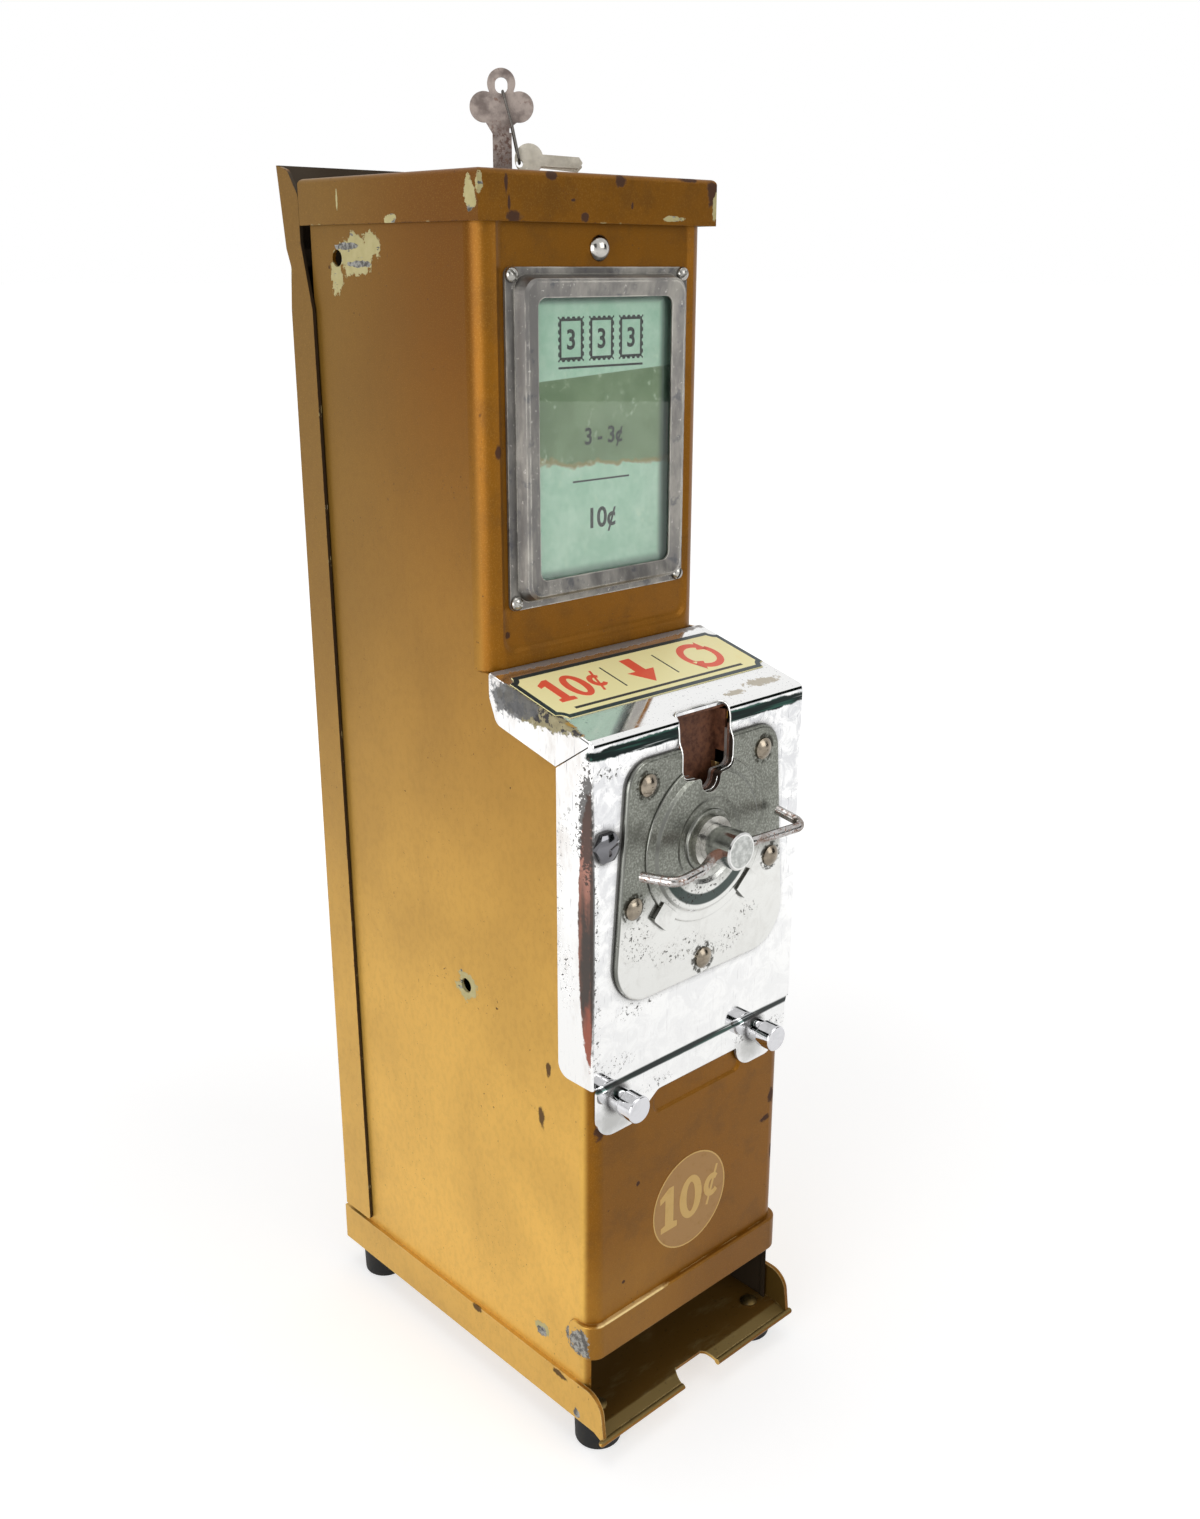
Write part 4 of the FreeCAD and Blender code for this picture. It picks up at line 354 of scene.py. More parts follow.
GOLD_HIGH_SHADED = (0.18, 0.061, 0.001)
GOLD_LOW_LIT = (0.795, 0.47, 0.1)
GOLD_OLIVE = (0.245, 0.145, 0.028)
GOLD_FRONT_SHADED = (0.232, 0.088, 0.002)
GOLD_SHADE = (0.13, 0.06, 0.01)
GOLD_GRIME = (0.085, 0.036, 0.008)
GOLD_SHEEN = (0.42, 0.2, 0.03)
GOLD_FLAKE = (0.58, 0.34, 0.075)
GOLD_RUB_AND_SHEEN = (0.78, 0.58, 0.26)
TROUGH_FLOOR_SHADOWED = (0.15, 0.075, 0.014)
TROUGH_LIP_LIT = (0.16, 0.108, 0.034)
TROUGH_WORN = (0.26, 0.2, 0.085)
TROUGH_DIRT = (0.035, 0.018, 0.007)
PRIMER_DARK = (0.4, 0.34, 0.15)
PRIMER_PALE = (0.56, 0.5, 0.27)
BARE_STEEL = (0.105, 0.1, 0.092)
WORN_STEEL = (0.36, 0.355, 0.33)
OLD_RUST = (0.042, 0.019, 0.014)
# painted shade on the inner faces of the case, door and tray
INSIDE_SHADE = (0.045, 0.032, 0.02)
INSIDE_BASE_SHADE = (0.105, 0.06, 0.012)


def gold_tone(f, tone, inside, inward):
    """Amber high up and yellower low down, which is painted shade and painted light; olive to the
    rear;
    darker in front, which is painted shade along with the front's own browner tone, and grimy
    there.

    `inside` is the painted shade for faces that turn to the middle plane or, by `inward`, to the
    rear (1, but not the case's rear edges), to the front (-1) or to neither (0).
    """
    high, low, front = (toned(tone, gold) for gold in (GOLD_HIGH_SHADED, GOLD_LOW_LIT, GOLD_FRONT_SHADED))
    # painted light and shade: the gold is darker high up and lighter low down, where light bounces
    # up from the floor
    f.colour = f.mix(f.step(f.axis("Z"), 0.42, 0.05), high, low)
    rearward = f.times(f.step(f.axis("Y"), -0.01, 0.075), f.step(f.axis("Z"), 0.12, 0.4))
    f.over(GOLD_OLIVE, rearward, 0.6)
    # painted shade: faces turned to the front, and the ledge there, are darker than the sides,
    # along with the front's own browner tone
    ledge = f.times(f.step(f.facing("Z"), 0.3, 0.7), f.step(f.axis("Y"), depth(10), depth(6)))
    frontal = f.most(f.step(f.facing("Y"), -0.22, -0.66), ledge)
    f.over(front, frontal)
    f.over(GOLD_GRIME, frontal, f.clumps(17.0, 6.0, 0.68, 0.47, 0.66), 0.3)
    # painted highlight: the lower left of the front faces is lighter
    sheen = f.times(f.step(f.axis("Z"), 0.095, 0.06), f.step(f.axis("X"), 0.02, -0.03))
    f.over(GOLD_SHEEN, frontal, sheen, 0.4)
    f.over(GOLD_SHADE, f.clumps(55.0, 3.0, 0.5, 0.38, 0.66), 0.16)
    f.over(GOLD_SHADE, f.clumps(9.0, 4.0, 0.6, 0.5, 0.78, (1.0, 1.0, 0.16)), 0.07)
    f.over(GOLD_SHADE, f.clumps(2.2, 4.0, 0.7, 0.42, 0.66, (1.0, 1.0, 0.7)), 0.1)
    f.over(GOLD_FLAKE, f.clumps(0.4, 1.0, 0.55, 0.5, 0.75), 0.13)
    # painted shade: faces turned to the middle plane, or by inward to the rear or the front, take
    # the dark inside tone
    hidden = f.step(f.times(f.axis("X"), f.facing("X")), -0.015, -0.035)
    back = f.step(f.times(f.facing("Y"), inward), 0.4, 0.8)
    if inward > 0:
        back = f.times(back, f.step(f.axis("Y"), depth(154), depth(151)))
    f.over(inside, f.most(hidden, back))


def trough_tone(f):
    """Inside of the delivery tray: brown floor darkened by painted shadow from the body, and a
    worn olive lip in front of it, lighter by painted light.
    """
    # painted shadow on the tray's floor and painted light on its lip
    tone = f.mix(f.step(f.axis("Y"), depth(-1.0), depth(-2.2)), TROUGH_FLOOR_SHADOWED, TROUGH_LIP_LIT)
    worn = f.clumps(7.0, 5.0, 0.65, 0.52, 0.72, (0.35, 1.0, 1.0))
    tone = f.mix(f.times(worn, 0.45), tone, TROUGH_WORN)
    tone = f.mix(f.times(f.clumps(3.0, 5.0, 0.7, 0.6, 0.72), 0.6), tone, TROUGH_DIRT)
    f.over(tone, f.step(f.facing("Z"), 0.3, 0.7), f.step(f.axis("Z"), 0.02, 0.017))


def gold_enamel(name, tone=1.0, chips=(), bare=(), stains=(), rubbed=0.0, trough=False,
                inside=INSIDE_SHADE, inward=1.0, painted_highlights=()):
    """Metallic gold enamel with primer and steel in its chips, and rust along its edges.

    Chips, bare steel, stains and painted_highlights are (centre, radii); painted_highlights are
    painted highlights on upward edges, and `rubbed` is how far the edges shine, from rubbing and a
    painted highlight.
    """
    f = Finish(name)
    gold_tone(f, tone, inside, inward)
    if trough:
        trough_tone(f)
    edge = f.edges(0.9, 0.02, 0.16)
    # edges shine from rubbing and from a painted highlight
    f.over(GOLD_RUB_AND_SHEEN, edge, f.clumps(13.0, 4.0, 0.6, 0.38, 0.6), rubbed)
    # painted highlight along the top of upward edges
    if painted_highlights:
        f.over(GOLD_RUB_AND_SHEEN, f.spots(painted_highlights, 0.45, 6.0, 0.3), f.step(f.facing("Z"), 0.1, 0.45))
    prick = f.times(f.clumps(0.9, 2.0, 0.5, 0.695, 0.725), f.clumps(24.0, 2.0, 0.55, 0.44, 0.64))
    pit = f.times(f.clumps(2.6, 3.0, 0.5, 0.735, 0.755), f.clumps(40.0, 2.0, 0.55, 0.5, 0.62))
    chafe = f.times(edge, f.clumps(2.8, 4.0, 0.65, 0.54, 0.62), 1.0 - rubbed)
    rust = f.most(f.times(prick, 0.7), pit, chafe, f.spots(stains, 0.55, 3.0, 0.25))
    chip = f.most(f.times(edge, f.clumps(8.0, 4.0, 0.6, 0.64, 0.67)),
                  f.spots(chips, 0.55, 4.0, 0.04))
    flaked = f.clumps(5.0, 5.0, 0.62, 0.6, 0.63, (1.0, 0.55, 1.6))
    steel = f.most(f.times(chip, flaked), f.spots(bare, 0.55, 3.2, 0.05))
    f.over(OLD_RUST, rust, 0.88)
    f.over(f.mix(f.noise(2.6, 4.0), PRIMER_DARK, PRIMER_PALE), chip)
    f.over(f.mix(f.clumps(2.0, 5.0, 0.7, 0.42, 0.6), BARE_STEEL, WORN_STEEL), steel)
    lost = f.most(rust, chip)
    f.set(Specular_IOR_Level=0.18,
          Roughness=f.blend(lost, f.blend(f.noise(9.0, 4.0), 0.33, 0.43), 0.7),
          Metallic=f.blend(lost, 0.42, f.times(steel, 0.6)))
    f.bump(f.noise(1.4, 3.0, 0.5), 0.015, 0.5)
    f.bump(f.noise(20.0, 2.0), 0.25, 0.2)
    f.bump(f.inverse(f.most(chip, steel, f.times(rust, 0.4))), 0.12, 0.8)
    return f.material


# ---- chrome and nickel

SHAFT_HEIGHT = 229.0
FINE_GRAIN = (1.7, 6.0, 0.78)      # noise that both kinds of pitting are cut from
CHROME = (0.87, 0.87, 0.86)
CHROME_REFLECTION_GREY = (0.58, 0.585, 0.6)
CHROME_SIDE = (0.56, 0.505, 0.465)
CHROME_SCRATCH = (0.3, 0.3, 0.33)
CHROME_BROWN = (0.36, 0.29, 0.17)
CHROME_EAR_GREY = (0.3, 0.3, 0.285)
# painted reflection: the dark bands in the cover's bends, with green streaks and glints
DARK_REFLECTION_BAND = (0.011, 0.017, 0.016)
REFLECTION_STREAK = (0.028, 0.08, 0.062)
REFLECTION_GLINT = (0.34, 0.36, 0.35)
PLATING_PIT = (0.03, 0.024, 0.02)
COPPER_DARK = (0.085, 0.05, 0.038)
COPPER_PALE = (0.3, 0.125, 0.085)
KHAKI_DARK = (0.2, 0.165, 0.085)
KHAKI_PALE = (0.44, 0.39, 0.23)
KHAKI_BLACK = (0.03, 0.026, 0.026)
AMBER = (0.44, 0.26, 0.045)

# Centre, radii, raggedness, lump size and softness of a spot, and its tone
COPPER_SPOTS = [
    (((-51, 2, 238), (2, 5, 16), 0.2, 8.0, 0.5), (0.42, 0.2, 0.15)),
    (((-51, 3, 196), (2, 2.6, 20), 0.5, 5.0, 0.4), (0.05, 0.038, 0.032)),
    (((-51, 1, 168), (2, 3, 14), 0.4, 5.0, 0.3), (0.3, 0.09, 0.055))]
EAR_GREY_PATCHES = [((-40.5, 0.7, 136.5), (9, 2, 6.0)), ((30.0, 0.7, 137.5), (8, 2, 5.0))]
COVER_PITS = [
    ((-51.4, 9.0, 243), (1, 5.5, 7)), ((-51.4, 15.5, 214), (1, 1.6, 26)),
    ((-51.4, 12.5, 190), (1, 4.0, 10)), ((-49.0, 0, 172), (1.8, 1, 14)),
    ((-49.4, 0, 206), (1.4, 1, 36)), ((-30, 0, 176), (9, 1, 3)), ((-44, 0, 262.5), (6, 1, 2.4)),
    ((-22, 0, 261), (12, 1, 3.0)), ((24, 0, 261.5), (10, 1, 3.0)), ((-41, 0, 158), (8, 1, 3)),
    ((-20, 0.7, 142.5), (6, 1, 2.4)), ((-32, 0.7, 141.6), (5, 1, 2.0)),
    ((23, 0.7, 141.0), (3, 1, 3.0)), ((43, 0.7, 142.0), (6, 1, 2.6)),
    ((-50.9, 28, 160), (1, 9, 2.0))]
PLATE_PITS = [
    ((-4, -3, 212), (14, 3, 4.0)), ((-33, -2, 203), (7, 2, 5)), ((-12, -2, 192), (12, 2, 4)),
    ((-31, -2, 196), (6, 2, 3)), ((12, -2, 188), (8, 2, 4)), ((22, -2, 196), (5, 2, 3))]


def plated(f, haze, pits, lost=0.0):
    """Sets plating with black pits, which on the cover also carry painted shade: `lost` is where
    no plating is left.
    """
    f.over(PLATING_PIT, pits, 0.92)
    rough = f.blend(f.clumps(10.0, 5.0, 0.62, 0.42, 0.8, swirl=0.8), haze, haze + 0.1)
    dull = f.most(pits, lost)
    f.set(Roughness=f.blend(dull, rough, 0.62),
          Metallic=f.blend(dull, 1.0, 0.2))
    f.bump(f.noise(30.0, 2.0, 0.4), 0.3, 0.14)
    f.bump(f.inverse(dull), 0.05, 0.6)


def chrome(name, tint, pits, haze):
    """Bright plating with small black pits in clusters."""
    f = Finish(name)
    cluster = f.clumps(12.0, 4.0, 0.6, 0.62 - 0.16 * pits, 0.76 - 0.16 * pits)
    cloud = f.clumps(9.0, 5.0, 0.62, 0.45, 0.75, swirl=0.8)
    f.colour = f.mix(f.times(cloud, 0.5), tint, toned(0.62, tint))
    plated(f, haze, f.times(f.clumps(0.75, 2.0, 0.5, 0.69, 0.72), cluster))
    return f.material


def copper_stripe(f):
    """Brown stripe behind the cover's left fold, where the plating has worn to the copper."""
    brown = f.mix(f.clumps(3.0, 4.0, 0.6, 0.4, 0.62, (1.0, 1.0, 0.1)), COPPER_DARK, COPPER_PALE)
    for shape, tone in COPPER_SPOTS:
        brown = f.mix(f.spot(*shape), brown, tone)
    stripe = f.spot((-51.4, 0.4, 209), (0.9, 6.9, 54), 0.07, 2.4, 0.03)
    ragged = f.spot((-51.4, 2.0, 246), (0.9, 4.6, 19), 0.75, 1.6, 0.04)
    f.over(brown, stripe)
    f.over(PLATING_PIT, ragged, 0.85)
    return f.most(stripe, ragged)


def slope_margin(f):
    """Khaki and black wear along the left end of the cover's sloping top."""
    khaki = f.mix(f.noise(2.4, 4.0, 0.6), KHAKI_DARK, KHAKI_PALE)
    khaki = f.mix(f.clumps(5.0, 6.0, 0.72, 0.49, 0.53), khaki, KHAKI_BLACK)
    amber = f.spots([((-49.6, 3, 275), (1.7, 2.4, 2.0)), ((-48.4, 12, 276.4), (1.4, 2.4, 1.0))],
                    0.6, 2.0, 0.2)
    khaki = f.mix(amber, khaki, AMBER)
    worn = f.spot((-50.2, 22, 279.5), (2.9, 25, 6.5), 0.25, 3.0, 0.05)
    corner = f.spot((-51, 37, 279.5), (1.2, 12.0, 5.5), 0.45, 2.6, 0.12)
    f.over(khaki, worn)
    f.over(f.mix(f.noise(2.0, 5.0, 0.7), (0.02, 0.02, 0.022), (0.2, 0.2, 0.2)), corner, 0.9)
    return f.most(worn, f.times(corner, 0.5))


def cover_chrome():
    """Old chrome of the coin cover: bright, with painted dark reflections in bands at its bends, a
    painted grey reflection on its upper front, painted shade in its corners, and worn edges.
    """
    f = Finish("cover_chrome")
    # painted reflection: grey clouds on the front faces, stronger higher up
    high = f.step(f.axis("Z"), 0.15, 0.255, 0.22, 0.85)
    cloud = f.clumps(9.0, 6.0, 0.7, 0.38, 0.6, swirl=1.0)
    front = f.step(f.facing("Y"), -0.8, -0.97)
    f.colour = f.mix(f.times(cloud, high, front), CHROME, CHROME_REFLECTION_GREY)
    f.over(CHROME_SIDE, f.clumps(14.0, 5.0, 0.66, 0.46, 0.72, (1.0, 1.0, 0.4)),
           f.step(f.facing("X"), -0.6, -0.9), 0.6)
    f.over(CHROME_SCRATCH, f.clumps(0.8, 2.0, 0.4, 0.64, 0.74, (1.0, 1.0, 0.12)), high, 0.6)
    # painted reflection: dark bands with green streaks and glints along the top bend and the bend
    # above the studs
    reflection_streak = f.clumps(1.5, 3.0, 0.5, 0.5, 0.66, (0.045, 1.0, 1.0))
    glint_place = f.moved((0.035, 1.0, 1.0), (0.0, 0.0, 0.4))
    glint = f.step(f.noise(1.3, 3.0, 0.5, glint_place), 0.6, 0.68)
    band = f.most(f.spot((0, 0.2, 269.0), (75, 4.0, 2.2), 0.22, 6.0, 0.12),
                  f.spot((0, 0.4, 150.2), (75, 4.0, 1.6), 0.05, 5.0, 0.25))
    f.over(f.mix(glint, f.mix(reflection_streak, DARK_REFLECTION_BAND, REFLECTION_STREAK), REFLECTION_GLINT), band)
    stripe = copper_stripe(f)
    margin = slope_margin(f)
    fold = f.spot((-50.3, 0.6, 211), (0.8, 0.8, 58), 0.16, 2.0, 0.2)
    rear = f.spot((0, 48.6, 285.6), (54, 2.3, 2.6), 0.35, 3.0, 0.15)
    brown = f.most(f.spot((21, 5.5, 275), (4, 1.6, 2.0), 0.9, 1.6, 0.1),
                   f.spot((37, 7.5, 275.4), (8, 2.2, 2.0), 0.8, 1.8, 0.1))
    f.over(f.mix(f.noise(2.0, 5.0, 0.7), (0.03, 0.02, 0.02), (0.27, 0.22, 0.19)), rear, 0.8)
    f.over(CHROME_BROWN, brown, 0.7)
    # grey patches on the ears, below the studs
    f.over(CHROME_EAR_GREY, f.spots(EAR_GREY_PATCHES, 0.35, 5.0, 0.7), 0.65)
    fine = f.noise(*FINE_GRAIN)
    pit = f.times(f.step(fine, 0.66, 0.68), f.clumps(14.0, 4.0, 0.6, 0.53, 0.66))
    clusters = f.times(f.step(fine, 0.565, 0.59), f.spots(COVER_PITS, 0.35, 4.0, 0.5))
    # painted shade: darker in corners, round the plate, studs and bolt, from ambient occlusion; it
    # goes into the pits together with a dark line along the left fold
    dirt = f.corners(3.2, 0.93, 0.66)
    pit = f.most(pit, clusters, f.times(fold, 0.95), f.times(dirt, 0.9))
    plated(f, 0.045, pit, f.most(stripe, margin, f.times(brown, 0.6), f.times(rear, 0.7)))
    return f.material


PLATE_DULL = (0.15, 0.155, 0.132)
PLATE_GRAIN = (0.4, 0.41, 0.37)
PLATE_CLOUD = (0.115, 0.118, 0.1)
PLATE_REFLECTION_BRIGHT = (0.7, 0.7, 0.675)
PLATE_HAZE = (0.56, 0.55, 0.52)
PLATE_BOSS_SHADOW = (0.02, 0.036, 0.032)
PLATE_LEFT_SHADE = (0.165, 0.168, 0.152)
PLATE_SOIL = (0.03, 0.028, 0.02)
PLATE_EDGE = (0.74, 0.74, 0.7)
PLATE_CORNER_SHADE = (0.05, 0.05, 0.038)
RIVET_PLACES = ((-34, 213.6), (34, 213.6), (-28, 255), (28, 255))
LOW_RIVET = 184.9


def plate_metal():
    """Cast plate: dull and grainy above; rubbed and pitted below the handle, where a painted
    reflection makes it bright, with painted shadow under the boss and painted shade on its
    left-facing bevel and in its corners.
    """
    f = Finish("cast_nickel")
    height = f.axis("Z")
    # painted reflection: the plate is bright below the handle and dull above
    bright = f.step(f.uneven_height(f.noise(11.0, 4.0, 0.62), 0.022, -0.1), 0.225, 0.206)
    dull = f.mix(f.times(f.clumps(0.8, 3.0, 0.6, 0.42, 0.66), 0.55), PLATE_DULL, PLATE_GRAIN)
    cloud = f.clumps(8.0, 5.0, 0.66, 0.46, 0.7, swirl=0.7)
    dull = f.mix(f.times(cloud, 0.7), dull, PLATE_CLOUD)
    f.colour = f.mix(bright, dull, f.mix(f.times(cloud, 0.35), PLATE_REFLECTION_BRIGHT, PLATE_HAZE))
    # painted shadow: a dark arc round the lower side of the boss
    f.over(PLATE_BOSS_SHADOW, f.ring((0, -2, SHAFT_HEIGHT), 19.2, 22.4, 0.7),
           f.step(height, 0.2225, 0.2185), 0.93)
    # painted shade on the plate's left-facing bevel
    f.over(PLATE_LEFT_SHADE, f.step(f.facing("X"), -0.2, -0.55), f.step(height, 0.176, 0.19))
    rings = f.ring((0, -2, LOW_RIVET), 3.4, 5.4, 1.0)
    for x, z in RIVET_PLACES:
        rings = f.most(rings, f.ring((x, -2, z), 3.4, 4.9, 1.0))
    soiled = f.times(rings, f.clumps(2.2, 5.0, 0.7, 0.47, 0.56))
    f.over(PLATE_SOIL, soiled, 0.85)
    fine = f.noise(*FINE_GRAIN)
    pit = f.times(f.step(fine, 0.64, 0.67), f.clumps(9.0, 4.0, 0.6, 0.52, 0.62))
    pit = f.most(pit, f.times(f.step(fine, 0.56, 0.59), f.spots(PLATE_PITS, 0.35, 4.0, 0.5)))
    f.over(PLATING_PIT, pit, 0.9)
    # edges above the handle are lightened by rubbing and by a painted highlight
    f.over(PLATE_EDGE, f.edges(0.5, 0.02, 0.12), f.step(height, 0.205, 0.225), 0.5)
    # painted shade in the plate's corners, from ambient occlusion
    f.over(PLATE_CORNER_SHADE, f.corners(1.6), 0.75)
    rough = f.blend(bright, f.blend(cloud, 0.3, 0.42), 0.16)
    f.set(Roughness=f.blend(f.most(pit, soiled), rough, 0.6), Metallic=1.0)
    f.bump(f.noise(0.8, 3.0, 0.6), 0.03, 0.6)
    f.bump(f.noise(6.0, 4.0, 0.6), 0.08, 0.25)
    f.bump(f.inverse(pit), 0.05, 0.5)
    return f.material


METAL_STAIN = (0.1, 0.085, 0.06)
KEY_DARK = (0.185, 0.15, 0.135)
KEY_PALE = (0.34, 0.29, 0.26)
KEY_RUST = (0.085, 0.038, 0.026)
KEY_BROWN = (0.14, 0.065, 0.04)
BLADE_TOP = (0.46, 0.453)       # heights between which the key's bow turns into its blade
PEWTER_DARK = (0.165, 0.158, 0.15)
PEWTER_PALE = (0.315, 0.3, 0.27)
PEWTER_BLUE = (0.075, 0.08, 0.095)
PEWTER_RUB_AND_HIGHLIGHT = (0.66, 0.63, 0.56)
PEWTER_NICK = (0.62, 0.6, 0.55)
PEWTER_CORNER_SHADE = (0.035, 0.03, 0.024)
ROD_PALE = (0.5, 0.49, 0.48)
ROD_DARK = (0.22, 0.18, 0.155)
ROD_SPECKLE = (0.17, 0.085, 0.055)
POCKET_DARK = (0.075, 0.024, 0.01)
POCKET_PALE = (0.17, 0.062, 0.026)


def bare_metal(name, dark, pale, rough, grain, dirt=0.5):
    """Dull plated or cast metal: mottled tone, fine scratches and patches of dirt."""
    f = Finish(name)
    mottle = f.noise(grain, 5.0, 0.65)
    patches = f.noise(grain * 6.0, 4.0, 0.6)
    f.colour = f.mix(f.step(patches, 0.3, 0.7), dark, pale)
    f.over(toned(0.62, pale), f.step(mottle, 0.35, 0.8, 0.0, 0.55))
    scratch = f.clumps(0.9, 2.0, 0.4, 0.7, 0.74, (0.06, 1.0, 1.3))
    f.over(toned(1.35, pale), scratch, 0.35)
    filth = f.times(f.clumps(grain * 2.2, 5.0, 0.7, 0.58, 0.74), dirt)
    f.over(METAL_STAIN, filth)
    f.set(Roughness=f.blend(f.step(patches, 0.25, 0.75), *rough),
          Metallic=f.blend(filth, 1.0, 0.35))
    f.bump(mottle, 0.05, 0.5)
    f.bump(scratch, 0.03, 0.4)
    return f.material


def key_steel():
    """Worn key: brown-grey bow, its blade speckled with rust."""
    f = Finish("key_steel")
    cloud = f.clumps(7.0, 5.0, 0.66, 0.38, 0.64)
    f.colour = f.mix(cloud, KEY_DARK, KEY_PALE)
    grain = f.noise(1.3, 6.0, 0.74)
    rust = f.times(f.step(f.axis("Z"), *BLADE_TOP), f.step(grain, 0.5, 0.56))
    f.over(KEY_RUST, rust, 0.9)
    f.over(KEY_BROWN, f.clumps(4.0, 5.0, 0.7, 0.6, 0.68), 0.6)
    f.set(Roughness=f.blend(cloud, 0.36, 0.55),
          Metallic=f.blend(rust, 0.85, 0.2))
    f.bump(grain, 0.05, 0.6)
    return f.material


def shaft_metal():
    """Plated shaft, rubbed dull and mottled on its end with a bright rim."""
    f = Finish("shaft_metal")
    mottle = f.clumps(2.2, 6.0, 0.7, 0.4, 0.62)
    end = f.step(f.facing("Y"), -0.85, -0.97)
    barrel = f.mix(f.times(mottle, 0.5), (0.62, 0.62, 0.61), (0.34, 0.34, 0.33))
    face = f.mix(mottle, (0.36, 0.37, 0.355), (0.56, 0.57, 0.55))
    rim = f.ring((0, 0, SHAFT_HEIGHT), 5.7, 6.7, 0.25)
    face = f.mix(f.times(rim, 0.8), face, (0.8, 0.8, 0.78))
    f.set(Base_Color=f.mix(end, barrel, face), Roughness=f.blend(end, 0.14, 0.36), Metallic=1.0)
    f.bump(f.noise(1.2, 5.0, 0.65), 0.03, 0.5)
    return f.material


def bezel_pewter():
    """Dull pewter frame with bright rubbed edges that also carry a painted highlight, blue-grey
    smears and painted shade in its fold.
    """
    f = Finish("bezel_pewter")
    smear = f.clumps(12.0, 5.0, 0.66, 0.38, 0.66, (1.0, 1.0, 0.35))
    f.colour = f.mix(smear, PEWTER_DARK, PEWTER_PALE)
    f.over(PEWTER_BLUE, f.clumps(7.0, 5.0, 0.7, 0.56, 0.68), 0.6)
    # edges shine from rubbing and from a painted highlight
    f.over(PEWTER_RUB_AND_HIGHLIGHT, f.edges(0.8, 0.01, 0.1), f.clumps(9.0, 4.0, 0.6, 0.34, 0.56), 0.8)
    f.over(PEWTER_NICK, f.clumps(1.6, 5.0, 0.72, 0.63, 0.67), 0.7)
    # painted shade in the fold and corners, from ambient occlusion
    dirt = f.corners(2.0)
    f.over(PEWTER_CORNER_SHADE, dirt, 0.8)
    f.set(Roughness=f.blend(smear, 0.34, 0.48),
          Metallic=f.blend(dirt, 0.9, 0.2))
    f.bump(f.noise(2.5, 5.0, 0.65), 0.05, 0.5)
    f.bump(f.noise(18.0, 2.0), 0.3, 0.25)
    return f.material


def rod_steel():
    """Bent rod of the handle: worn nickel with brown speckle, rusted where it leaves the shaft."""
    f = Finish("rod_steel")
    patches = f.clumps(5.0, 5.0, 0.66, 0.4, 0.66)
    f.colour = f.mix(patches, ROD_PALE, ROD_DARK)
    speckle = f.times(f.clumps(1.1, 3.0, 0.6, 0.54, 0.62), 0.8)
    f.over(ROD_SPECKLE, speckle)
    near = f.spot((-7, -14, SHAFT_HEIGHT), (8, 8, 8), 0.35, 3.0, 0.35)
    f.over(f.mix(f.noise(1.4, 4.0), (0.1, 0.034, 0.014), (0.26, 0.1, 0.045)), near, 0.9)
    rough = f.blend(f.most(near, speckle), f.blend(patches, 0.16, 0.3), 0.6)
    f.set(Roughness=rough, Metallic=f.blend(near, 1.0, 0.1))
    f.bump(f.noise(1.2, 4.0, 0.6), 0.04, 0.6)
    return f.material


def slot_rust():
    """Steel of the coin pocket, with a crust of rust in clumps."""
    f = Finish("slot_rust")
    crust = f.noise(2.4, 6.0, 0.7)
    f.colour = f.mix(f.step(crust, 0.35, 0.68), POCKET_DARK, POCKET_PALE)
    f.over(toned(0.35, POCKET_DARK), f.step(f.noise(0.8), 0.62, 0.75, 0.0, 0.7))
    f.set(Roughness=f.blend(crust, 0.45, 0.85),
          Metallic=f.blend(f.step(crust, 0.35, 0.55), 0.35, 0.0))
    f.bump(crust, 0.12, 0.7)
    return f.material


# ---- rubber, glass and paper

PAPER_DARK = (0.37, 0.58, 0.44)
PAPER_PALE = (0.53, 0.7, 0.57)
PAPER_FIBRE = (0.6, 0.72, 0.6)
PAPER_SHADE = (0.42, 0.5, 0.36)
PAPER_BLEACH = (0.66, 0.74, 0.58)
PAPER_EDGE_SHADOW = (0.014, 0.045, 0.036)
TAPE_DARK = (0.13, 0.2, 0.095)
TAPE_PALE = (0.215, 0.295, 0.165)
TAPE_TORN = (0.36, 0.25, 0.1)
TAPE_LOW = 0.35
TAPE_HIGH = 0.379
TAPE_TILT = 0.05
LABEL_YELLOW = (1.0, 0.91, 0.47)
LABEL_STAIN = (0.98, 0.78, 0.35)


def rubber():
    f = Finish("black_rubber")
    dust = f.clumps(3.0, 5.0, 0.7, 0.45, 0.8)
    f.set(Base_Color=f.mix(f.times(dust, 0.35), (0.012, 0.012, 0.012), (0.1, 0.085, 0.065)),
          Roughness=f.blend(dust, 0.55, 0.85), Specular_IOR_Level=0.2)
    f.bump(f.noise(0.8), 0.05, 0.5)
    return f.material


def window_pane():
    f = Finish("window_pane")
    f.set(Base_Color=(0.95, 0.985, 0.965), Roughness=0.0, Transmission_Weight=1.0, IOR=1.45)
    return f.material


